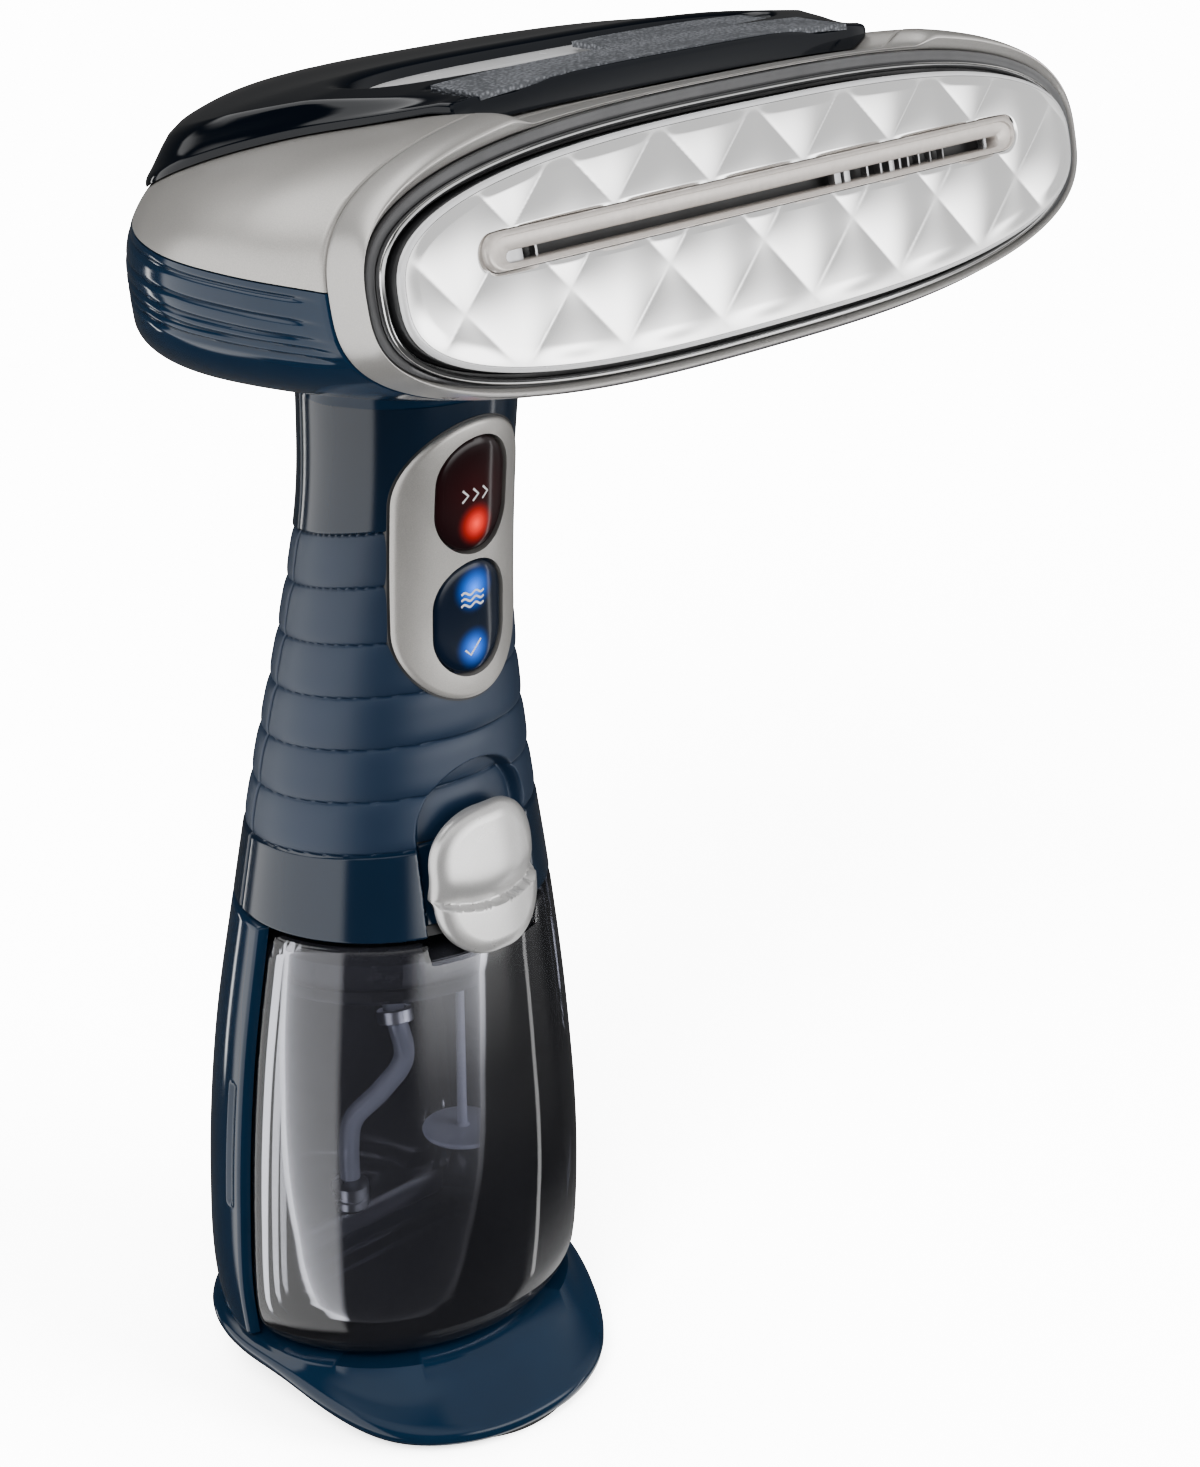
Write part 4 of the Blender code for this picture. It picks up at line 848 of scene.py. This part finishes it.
def cover_plan(share, count=240):
    turn = round_turn(count)
    window_x = WIN_HALF_X * power(np.cos(turn), 2 / COVER_OVAL)
    window_s = WIN_S + WIN_HALF_S * power(np.sin(turn), 2 / COVER_OVAL)
    front, back, middle = COVER_EDGE[0][0], COVER_EDGE[-1][0], 0.066
    reach = np.where(np.sin(turn) < 0, middle - front, back - middle)
    edge_s = middle + reach * power(np.sin(turn), 2 / COVER_OVAL)
    edge_half = smooth(COVER_EDGE, edge_s)[:, 0]
    edge_x = edge_half * np.sign(np.cos(turn)) * np.minimum(1.0, np.abs(np.cos(turn)) * 3.2)
    return edge_x + (window_x - edge_x) * share, edge_s + (window_s - edge_s) * share


def on_top(x, s, out):
    return in_head(x, s, top_rise(x, s) + out)


def cover_top(x, s):
    """How far the cover's outer face stands above the scooped shell: it rises from front to back."""
    rise = np.interp(s, *np.array(COVER_RISE).T)
    return rise + scoop(x, s, top_level(x, s))


def top_level(x, s):
    sizes = smooth(HEAD, np.clip(s, PART_S, 0.128).ravel())
    half, square = (sizes[:, k].reshape(np.shape(s)) for k in (0, 3))
    share = np.minimum(0.999, np.abs(x) / half)
    return (1 - share**square) ** (1 / square)


def make_cover(f):
    loops = []
    for share in (1.0, 0.6, 0.3, 0.12, 0.03, 0.003):
        x, s = cover_plan(share)
        loops.append(on_top(x, s, 0.0004))
    drops = [(0.0, 0.001), (0.003, 0.0004), (0.01, 0.0001), (0.02, 0.0)]
    drops += [
        (q, 0.0)
        for q in (0.04, 0.055, 0.066, 0.08, 0.11, 0.15, 0.2, 0.26, 0.33, 0.42, 0.52, 0.62, 0.72, 0.8)
    ]
    drops += [
        (0.86, 0.0), (0.875, 0.0), (0.91, 0.0), (0.94, 0.0), (0.965, 0.00015), (0.985, 0.0005),
        (1.0, 0.0011),
    ]
    for share, drop in drops:
        x, s = cover_plan(share)
        full = cover_top(x, s)
        border = np.minimum(full, 0.0018 + scoop(x, s, top_level(x, s)))
        out = border + (full - border) * (1 - fade(share, 0.0, 0.2))
        ledge = fade(np.abs(x), 0.0462, 0.0465) * fade(s, 0.0302, 0.0305) * fade(-s, -0.0176, -0.0173)
        loops.append(on_top(x, s, out - drop - 0.0009 * ledge))
    rings(
        "cover_skin", loops, f["cover"], closed=True, body="head_cover", nodes=["top_cover"],
        slot="gloss_navy", sharp=50,
    )
    barrel = [
        in_head(x + np.zeros(32), *circle(HINGE_S, HINGE_V, r, 32))
        for x, r in (
            (-HINGE_X, 0.0017), (-HINGE_X + 0.0004, 0.0021), (HINGE_X - 0.0004, 0.0021),
            (HINGE_X, 0.0017),
        )
    ]
    rings("cover_barrel", barrel, f["cover"], body="head_cover", slot="gloss_navy", sharp=50)

    grip_patch(
        "grip_strip", (-0.0459, 0.0459), (0.0178, 0.0299), 0.0003, f["pebble"], nodes=["cover_grip_strip"]
    )
    grip_patch("grip_patch", (0.001, 0.0455), (0.0301, 0.044), -0.0004, f["pebble"])

    for side, label in ((-1, "left"), (1, "right")):
        xs = ((0.0245, 0.001), (0.0318, 0.001), (0.0322, 0.0008))
        pin = [in_head(side * x + np.zeros(24), *circle(HINGE_S, HINGE_V, r, 24)) for x, r in xs]
        rings("hinge_pin_" + label, pin, f["steel"], nodes=["cover_pin_" + label], slot="steel", sharp=50)
        ear = []
        for x, grow in ((0.029, -0.0003), (0.0293, 0.0), (0.0321, 0.0), (0.0325, -0.0004)):
            q = np.linspace(-0.2 * math.pi, 1.2 * math.pi, 30)
            s = np.concatenate(
                [HINGE_S + (0.0026 + grow) * np.cos(q), [HINGE_S - 0.003, HINGE_S + 0.003]]
            )
            v = np.concatenate(
                [HINGE_V + (0.0026 + grow) * np.sin(q), [HINGE_V - 0.008, HINGE_V - 0.008]]
            )
            ear.append(in_head(side * x + np.zeros(32), s, v))
        rings("hinge_ear_" + label, ear, f["silver"], slot="satin_silver", sharp=50)

    loops = []
    for grow, lift in (
        (0.0, 0.0009), (0.0, 0.0034), (-0.0003, 0.0037), (-0.0012, 0.0039), (-0.003, 0.004),
        (-0.006, 0.004), (-0.009, 0.004),
    ):
        turn = round_turn(200)
        x = (0.048 + grow) * power(np.cos(turn), 2 / COVER_OVAL)
        s = WIN_S + (0.0098 + grow) * power(np.sin(turn), 2 / COVER_OVAL)
        loops.append(on_top(x, s, lift))
    rings("badge_skin", loops, f["badge"], nodes=["top_badge"], slot="satin_silver", sharp=50)


def grip_patch(name, across, along, lift, finish, nodes=()):
    """A thin pebbled patch laid on the cover, with its edges turned down."""
    x = np.linspace(across[0], across[1], 200)
    x = np.concatenate([x[:1], x, x[-1:]])
    turned = np.zeros(202)
    turned[[0, -1]] = -0.0011
    grid = []
    s_values = np.linspace(along[0], along[1], 40)
    for s, down in [(along[0], -0.0011), *[(q, 0.0) for q in s_values], (along[1], -0.0011)]:
        s = np.full(202, s)
        grid.append(on_top(x, s, cover_top(x, s) + lift + np.minimum(turned, down)))
    skin(name, np.array(grid), finish, body="head_cover", nodes=nodes, slot="pebbled_grey")


def circle(s, v, radius, count):
    turn = round_turn(count)
    return s + radius * np.cos(turn), v + radius * np.sin(turn)


# Grip.


def body_loop(z, turn, inset=0.0):
    half, middle = smooth(BODY, z)[0]
    return np.stack(
        [
            (half - inset) * np.cos(turn),
            middle + (half * BODY_DEPTH - inset) * np.sin(turn),
            np.full(len(turn), float(z)),
        ],
        -1,
    )


def body_front(x, z, out=0.0):
    x, z, out = np.broadcast_arrays(np.asarray(x, float), np.asarray(z, float), np.asarray(out, float))
    half, middle = smooth(BODY, z.ravel()).T
    half, middle = half.reshape(z.shape), middle.reshape(z.shape)
    share = np.clip(x / half, -0.98, 0.98)
    return np.stack([x, middle - (half * BODY_DEPTH + out) * np.sqrt(1 - share**2), z], -1)


def bands(y, z):
    """How far the bands and grooves lie below the plain grip surface."""
    sunk = np.zeros_like(z)
    for first, last in zip(GRIP_LINES[:-1], GRIP_LINES[1:]):
        low, high = first[0] + first[1] * y, last[0] + last[1] * y
        share = np.clip((z - low) / (high - low), 0, 1)
        inside = (z >= low) & (z < high)
        pillow = 0.00055 * np.abs(2 * share - 1) ** 3.5
        sunk = np.where(inside, np.maximum(sunk, pillow), sunk)
    for base, slope in GRIP_LINES:
        away = z - (base + slope * y)
        sunk = np.maximum(sunk, 0.0008 * np.exp(-((away / 0.0003) ** 2)))
    return sunk


def arch(x, z, half, low, high, soft):
    """1 inside an arched bay with a round top, 0 outside."""
    top = high - half
    away = np.where(z > top, np.hypot(x, z - top) - half, np.abs(x) - half)
    away = np.maximum(away, low - z)
    return fade(away, -soft, soft)


def grip_grid(first, last, columns, rows, bay):
    heights = np.linspace(0.1192, 0.2328, rows)
    angle = np.radians(np.linspace(first, last, columns))
    half, middle = smooth(BODY, heights).T
    normal_x, normal_y = np.cos(angle), np.sin(angle)
    x = half[:, None] * normal_x
    y = middle[:, None] + BODY_DEPTH * half[:, None] * normal_y
    z = np.repeat(heights[:, None], columns, 1)
    sunk = bands(y, z)
    if bay:
        sunk = sunk + 0.003 * arch(x, z, 0.0149, 0.1, 0.155, 0.0005) * (y < 0)
        from_middle = np.hypot(x, np.maximum(0.0, np.abs(z - PANEL_Z) - 0.0134))
        sunk = sunk + 0.0031 * fade(from_middle, 0.0144, 0.015) * (y < 0)
    sunk = sunk + turned_in(columns, 0.0022, 0.0003)[None, :]
    sunk = sunk + turned_in(rows, 0.0022, 0.0002, both=False)[:, None]
    return np.stack([x - sunk * normal_x, y - sunk * normal_y, z], -1)


def make_grip(f):
    front = grip_grid(-198 + 0.25, 18 - 0.25, 420, 420, True)
    skin("grip_front", front, f["grip"], nodes=["handle_front_shell"], slot="gloss_navy", sharp=60)
    rear = grip_grid(18 + 0.25, 162 - 0.25, 220, 360, False)
    skin("grip_rear", rear, f["grip"], nodes=["handle_rear_shell"], slot="gloss_navy", sharp=60)
    turn = round_turn(120)
    floor = [
        body_loop(z, turn, inset)
        for z, inset in ((0.1188, 0.004), (0.1188, 0.0026), (0.121, 0.0026), (0.1212, 0.004))
    ]
    rings("grip_floor", floor, f["black"], nodes=["handle_floor"], slot="gloss_navy", sharp=50)


def pad(name, middle, half_x, half_z, radius, profile, finish, count=160, **how):
    """A rounded plate that follows the front of the grip: profile gives (inset, out) from back to front."""
    loops = []
    for inset, out in profile:
        x, z = stadium(half_x - inset, half_z - inset, radius - inset, count)
        loops.append(body_front(x, middle + z, out))
    x, z = stadium(half_x - profile[-1][0], half_z - profile[-1][0], radius - profile[-1][0], count)
    for share in (0.8, 0.6, 0.4, 0.2, 0.04):
        loops.append(body_front(x * share, middle + z * share, profile[-1][1]))
    return rings(name, loops, finish, **how)


def carve(target, cutters):
    for cutter in cutters:
        step = target.modifiers.new("cut", "BOOLEAN")
        step.operation = "DIFFERENCE"
        step.solver = "EXACT"
        step.object = cutter
    graph = bpy.context.evaluated_depsgraph_get()
    mesh = bpy.data.meshes.new_from_object(target.evaluated_get(graph))
    target.modifiers.clear()
    target.data = mesh
    for cutter in cutters:
        bpy.data.objects.remove(cutter)
    mesh.set_sharp_from_angle(angle=math.radians(40))


def cutter(middle, half_x, half_z, radius, out_from, out_to, finish):
    x, z = stadium(half_x, half_z, radius, 120)
    loops = [body_front(x, middle + z, out) for out in (out_from, out_to)]
    made = rings("cutter", loops, finish)
    made.parent = None
    del made["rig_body"]
    return made


KEYS = (("turbo", 0.213, 0.0122), ("steam", 0.1865, 0.0122))


def make_panel(f):
    silver = f["silver"]
    frame_profile = ((0.0, -0.002), (0.0, 0.0002), (0.0002, 0.0006), (0.0006, 0.0009), (0.0012, 0.001))
    panel = pad(
        "panel_skin", PANEL_Z, 0.0166, 0.03, 0.0166, frame_profile, silver,
        nodes=["control_panel"], slot="satin_silver", sharp=45,
    )
    holes = [cutter(z, 0.0096, half + 0.0004, 0.0096, -0.004, 0.004, silver) for _, z, half in KEYS]
    carve(panel, holes)
    # Thin black ring just round the panel's edge: painted shade for the gap there.
    gap = []
    for inset, out in ((0.0, -0.0015), (0.0, 0.00012), (0.0009, 0.00012), (0.0009, -0.0015)):
        x, z = stadium(0.01705 - inset, 0.03045 - inset, 0.01705 - inset, 160)
        gap.append(body_front(x, PANEL_Z + z, out))
    rings("panel_gap_shade", np.array(gap), f["black"], closed=True)
    for name, z, half in KEYS:
        profile = ((0.0, -0.0012), (0.0, -0.0001), (0.0002, 0.0003), (0.0007, 0.0005), (0.0018, 0.0006))
        pad(
            name + "_window", z, 0.0091, half - 0.0001, 0.0091, profile, f[name],
            body=name + "_key", nodes=[name + "_button"], slot="window_black", sharp=45,
        )
    # Plain pictograms in place of words: chevrons above the red light, waves and a tick by the blue ones.
    for k in range(3):
        x0 = -0.0026 + 0.0026 * k
        mark(
            "turbo_mark_%d" % (k + 1),
            [(x0 - 0.0008, 0.2143), (x0 + 0.0006, 0.213), (x0 - 0.0008, 0.2117)],
            f["mark"],
            "turbo_key",
        )
    for k in range(3):
        path = [
            (-0.003 + 0.006 * u, 0.1905 + 0.0013 * (1 - k) + 0.00035 * math.sin(u * 4 * math.pi))
            for u in np.linspace(0, 1, 25)
        ]
        mark("steam_mark_%d" % (k + 1), path, f["mark"], "steam_key")
    mark("ready_mark", [(-0.002, 0.1796), (-0.0006, 0.1783), (0.0022, 0.1812)], f["mark"], "steam_key")


def mark(name, path, finish, body):
    """A thin raised line on a window."""
    path = np.array(path)
    ahead = np.gradient(path, axis=0)
    ahead /= np.linalg.norm(ahead, axis=1)[:, None]
    side = np.stack([-ahead[:, 1], ahead[:, 0]], -1) * 0.00022
    loops = []
    for p, w in zip(path, side):
        a, b = p + w, p - w
        loops.append(
            [
                body_front(a[0], a[1], 0.0004),
                body_front(a[0], a[1], 0.00066),
                body_front(b[0], b[1], 0.00066),
                body_front(b[0], b[1], 0.0004),
            ]
        )
    rings(name, np.array(loops), finish, body=body, slot="moulded_white", sharp=30)


def make_latch(f):
    count, half_x, half_z, middle = 160, 0.0138, 0.016, 0.13
    loops = []
    for inset, out in (
        (0.0, 0.0005), (0.0, 0.0016), (0.0003, 0.0023), (0.0009, 0.0028), (0.0018, 0.0031),
        (0.003, 0.0033),
    ):
        x, z = stadium(half_x - inset, half_z - inset, 0.0118 - inset, count)
        loops.append(latch_points(x, z, middle, out))
    x, z = stadium(half_x - 0.003, half_z - 0.003, 0.0088, count)
    for share in np.linspace(0.96, 0.04, 22):
        loops.append(latch_points(x * share, z * share, middle, 0.0033))
    rings(
        "latch_skin", loops, f["dark_latch"], body="release_latch", nodes=["tank_latch"],
        slot="satin_silver", sharp=60,
    )


def latch_points(x, z, middle, out):
    """The latch's face: a long pad, a step, and a lip below it."""
    crease = -0.0052 + 0.0022 * (x / 0.0138) ** 2
    lip = fade(z, crease - 0.0002, crease + 0.0002)
    valley = np.exp(-(((z - crease) / 0.0036) ** 2)) * (1 - lip)
    lift = out - 0.0017 * valley + 0.0003 * lip
    return body_front(x, middle + z, lift)


# Tank, spine and foot.


def tank_loop(z, inset, count=240):
    turn = round_turn(count)
    half, middle = smooth(BODY, max(z, 0.012))[0]
    behind = np.clip((np.sin(turn) + 0.06) / 0.04, 0.0, 1.0)
    step = inset + 0.0034 * behind
    x = (half - step) * np.cos(turn)
    y = middle + (half * BODY_DEPTH - step) * np.sin(turn)
    y = np.minimum(y, 0.0218 - inset)
    return np.stack([x, y, np.full(count, float(z))], -1)


def make_tank(f):
    low, wall = 0.0185, 0.002
    outside = [
        (low, 0.008), (low + 0.0004, 0.0056), (low + 0.0012, 0.0039), (low + 0.0024, 0.0025),
        (low + 0.004, 0.0014), (low + 0.006, 0.0006), (low + 0.0085, 0.0001),
    ]
    outside += [(z, 0.0) for z in np.linspace(0.03, 0.116, 40)] + [(0.1172, 0.0001), (0.1178, 0.0004)]
    inside = [(0.118, wall - 0.0004)] + [(z, wall) for z in np.linspace(0.117, 0.03, 30)]
    inside += [
        (low + 0.008, wall + 0.0004), (low + 0.005, wall + 0.0018), (low + 0.0034, wall + 0.0042),
        (low + 0.0028, wall + 0.007),
    ]
    loops = np.array([tank_loop(z, inset) for z, inset in outside + inside])
    top = loops[..., 2]
    lowered = np.minimum(top, 0.1132)
    back = loops[..., 1] > -0.002
    notch = (np.abs(loops[..., 0]) < 0.0149) & (loops[..., 1] < 0)
    loops[..., 2] = np.where(back | notch, lowered, top)
    rings(
        "tank_skin", loops, f["smoke"], body="water_tank", nodes=["tank_shell"],
        slot="smoked_clear", sharp=50,
    )


def tube(name, path, radius, finish, count=20, steps=14, **how):
    path = np.array(path, float)
    table = np.concatenate([np.arange(len(path), dtype=float)[:, None], path], 1)
    centres = smooth(table, np.linspace(0, len(path) - 1, (len(path) - 1) * steps + 1))
    ahead = np.gradient(centres, axis=0)
    ahead /= np.linalg.norm(ahead, axis=1)[:, None]
    side = np.cross(ahead[0], (0.3, 0.9, 0.2))
    turn = round_turn(count)[:, None]
    loops = []
    for centre, way in zip(centres, ahead):
        side = side - way * side.dot(way)
        side /= np.linalg.norm(side)
        loops.append(centre + radius * (side * np.cos(turn) + np.cross(way, side) * np.sin(turn)))
    return rings(name, loops, finish, **how)


def turned(name, centre, axis, profile, finish, count=48, closed=False, **how):
    axis = np.array(axis, float) / np.linalg.norm(axis)
    side = np.cross(axis, (0.0, 0.0, 1.0) if abs(axis[2]) < 0.9 else (0.0, 1.0, 0.0))
    side /= np.linalg.norm(side)
    other = np.cross(axis, side)
    turn = round_turn(count)[:, None]
    loops = [
        np.array(centre) + axis * a + r * (side * np.cos(turn) + other * np.sin(turn)) for r, a in profile
    ]
    return rings(name, loops, finish, closed=closed, **how)


def make_tank_inside(f):
    tank = dict(body="water_tank")
    run = [
        (0, 0.004, 0.099), (-0.001, 0.003, 0.094), (-0.002, -0.001, 0.086), (-0.001, -0.002, 0.076),
    ]
    run += [
        (-0.006, 0.0, 0.069), (-0.0115, 0.003, 0.063), (-0.0125, 0.004, 0.056), (-0.0125, 0.004, 0.048),
    ]
    tube("pickup_tube", run, 0.0024, f["hose"], nodes=["pickup_hose"], slot="clear_hose", **tank)
    turned(
        "clamp_band",
        (-0.002, -0.001, 0.085), (0.1, 0.3, 1),
        [
            (0.0026, 0), (0.0038, 0), (0.004, 0.0002), (0.004, 0.0028), (0.0038, 0.003),
            (0.0026, 0.003),
        ],
        f["steel"],
        closed=True,
        nodes=["hose_clamp"],
        slot="steel",
        **tank,
    )
    turned(
        "weight_body",
        (-0.0125, 0.004, 0.04), (0, 0, 1),
        [
            (0.003, 0), (0.0034, 0.0002), (0.0042, 0.0012), (0.0042, 0.003), (0.0039, 0.0033),
            (0.0042, 0.0036), (0.0042, 0.0064), (0.0026, 0.0076),
        ],
        f["steel"],
        nodes=["pickup_weight"],
        slot="steel",
        **tank,
    )
    turned(
        "disc_body",
        (0, -0.02, 0.0645), (0, 0, 1),
        [
            (0.0078, 0), (0.0086, 0.0003), (0.0088, 0.0008), (0.0086, 0.0013), (0.008, 0.0016),
            (0.0016, 0.0018), (0.0011, 0.0024), (0.0009, 0.0392),
        ],
        f["disc"],
        nodes=["level_disc"],
        slot="disc_grey",
        **tank,
    )


def make_spine(f):
    heights = np.linspace(0.0183, 0.1185, 200)
    angle = np.radians(np.linspace(2, 178, 180))
    half, middle = smooth(BODY, heights).T
    x = half[:, None] * np.cos(angle)
    y = middle[:, None] + BODY_DEPTH * half[:, None] * np.sin(angle)
    z = np.repeat(heights[:, None], len(angle), 1)
    hole = fade(np.hypot(x, z - 0.033), 0.0066, 0.007) * (y > 0.02)
    sunk = 0.002 * hole
    beside = np.minimum(np.abs(np.degrees(angle) - 171), np.abs(np.degrees(angle) - 9))
    rail = fade(beside[None, :], 0.8, 1.6) * fade(np.abs(z - 0.066), 0.014, 0.015)
    sunk = sunk + 0.0006 * rail
    sunk = sunk + turned_in(180, 0.0024, 0.0004)[None, :]
    sunk = sunk + turned_in(200, 0.0024, 0.0002)[:, None]
    grid = np.stack([x - sunk * np.cos(angle), y - sunk * np.sin(angle), z], -1)
    skin("spine_skin", grid, f["navy"], nodes=["rear_spine"], slot="gloss_navy", sharp=60)
    turned(
        "gland_body",
        (0, 0.035, 0.033), (0, 1, 0),
        [
            (0.0062, 0), (0.0064, 0.0003), (0.0064, 0.0078), (0.006, 0.0084), (0.0064, 0.009),
            (0.0062, 0.0096), (0.0052, 0.0109), (0.004, 0.011), (0.0036, 0.0106), (0.0036, 0),
        ],
        f["black"],
        closed=True,
        nodes=["cord_gland"],
        slot="moulded_black",
    )


def foot_loop(half, front, back, low, high, slope=0.0, base=0.0, count=200):
    turn = round_turn(count)
    y = 0.004 + np.where(np.sin(turn) < 0, front, back) * power(np.sin(turn), 2 / 2.2)
    x = half * power(np.cos(turn), 2 / 2.2)
    z = base + slope * y
    soft = 0.0012
    z = high - soft * np.logaddexp(0, (high - z) / soft)
    z = low + soft * np.logaddexp(0, (z - low) / soft)
    z = np.minimum(z, high) if low < high else np.full(count, float(low))
    return np.stack([x, y, z], -1)


def make_foot(f):
    s = 0.39
    levels = [
        (0.0285, 0.0476, 0.0356, 0.0015, 0.0015), (0.0292, 0.0482, 0.0361, 0.0017, 0.0018, s, 0.0),
        (0.034, 0.0487, 0.0362, 0.002, 0.007, s, 0.008),
        (0.0392, 0.0492, 0.0362, 0.0026, 0.0112, s, 0.013),
        (0.0408, 0.0497, 0.0364, 0.003, 0.0126, s, 0.0146),
        (0.0418, 0.05, 0.0368, 0.0038, 0.014, s, 0.0158),
        (0.0423, 0.0501, 0.0373, 0.0048, 0.0151, s, 0.0171),
        (0.0424, 0.05, 0.0376, 0.0058, 0.016, s, 0.0184),
        (0.0422, 0.0494, 0.0376, 0.0065, 0.0166, s, 0.0193),
        (0.0417, 0.0478, 0.0375, 0.0076, 0.017, s, 0.0202),
        (0.0408, 0.044, 0.0374, 0.01, 0.0174, s, 0.0212),
        (0.04, 0.04, 0.0372, 0.0136, 0.0177, s, 0.0226), (0.0396, 0.037, 0.037, 0.018, 0.018),
        (0.03, 0.028, 0.028, 0.018, 0.018),
    ]
    rings(
        "foot_skin",
        [foot_loop(*level) for level in levels],
        f["navy"],
        nodes=["base_foot"],
        slot="gloss_navy",
        sharp=60,
    )
    sole = foot_loop(0.0286, 0.0476, 0.0356, 0.0, 0.0)
    inner = foot_loop(0.028, 0.047, 0.035, 0.0, 0.0)
    up = np.array([0, 0, 1.0])
    rings(
        "sole_pad",
        [inner, sole + up * 0.0003, sole + up * 0.0012],
        f["rubber"],
        nodes=["base_pad"],
        slot="rubber",
    )


# Finishes of the pieces that keep their shape.


def dress_rest(f):
    kept = {
        "boiler_block": "cast", "boiler_cover": "cast", "boiler_gasket": "rubber", "heat_shield": "foil",
        "heating_element": "steel", "thermostat": "brass", "thermal_fuse": "cream", "steam_elbow": "brass",
        "outlet_hose": "hose", "inlet_hose": "hose", "pump_body": "black", "pump_coil": "copper",
        "pump_bracket": "steel", "control_board": "board", "button_board": "board", "turbo_switch": "black",
        "steam_switch": "black", "turbo_lamp": "lamp", "steam_lamp": "lamp", "latch_tray": "black",
        "latch_spring": "steel", "bay_wall": "bay", "tank_lid": "lid", "tank_seal": "rubber",
        "tank_valve": "white", "tank_coupling": "white", "fill_cap": "lid",
    }
    for name, finish in kept.items():
        node = frame["nodes"][name]
        node.data.materials.clear()
        node.data.materials.append(f[finish].made)


def build():
    make_camera()
    make_light()
    make_floor()
    f = shared_finishes()
    f["grip"] = grip_finish()
    f["pebble"] = pebble_finish()
    f["smoke"] = smoked_finish("smoked_clear", (0.8, 0.805, 0.85), (0.1, 0.102, 0.125), 0.1)
    f["hose"] = smoked_finish("clear_hose", (0.8, 0.82, 0.86), (0.7, 0.72, 0.8), 0.42)
    f["lid"] = Finish("lid_dark", (0.03, 0.031, 0.038), 0.25).vary(80, 0.15).wear(80, 0.06)
    red, blue = (1.0, 0.02, 0.01), (0.01, 0.17, 1.0)
    f["turbo"] = window_finish(
        "turbo_window",
        (0.01, 0.004, 0.005),
        [(0.0004, 0.2066, 0.0052, red, 2.6), (0.0, 0.213, 0.016, (0.25, 0.01, 0.01), 0.12)],
    )
    f["steam"] = window_finish(
        "steam_window",
        (0.003, 0.008, 0.02),
        [(0.0004, 0.1926, 0.0058, blue, 3.0), (0.0004, 0.1797, 0.0052, blue, 2.6)],
    )
    f["mark"] = Finish("mark_white", (0.85, 0.85, 0.85), 0.4).vary(500, 0.03)
    make_plate(f)
    make_slot(f)
    make_face_rings(f)
    make_bezel(f)
    make_head(f)
    make_neck(f)
    make_cover(f)
    make_grip(f)
    make_panel(f)
    make_latch(f)
    make_tank(f)
    make_tank_inside(f)
    make_spine(f)
    make_foot(f)
    dress_rest(f)


build()
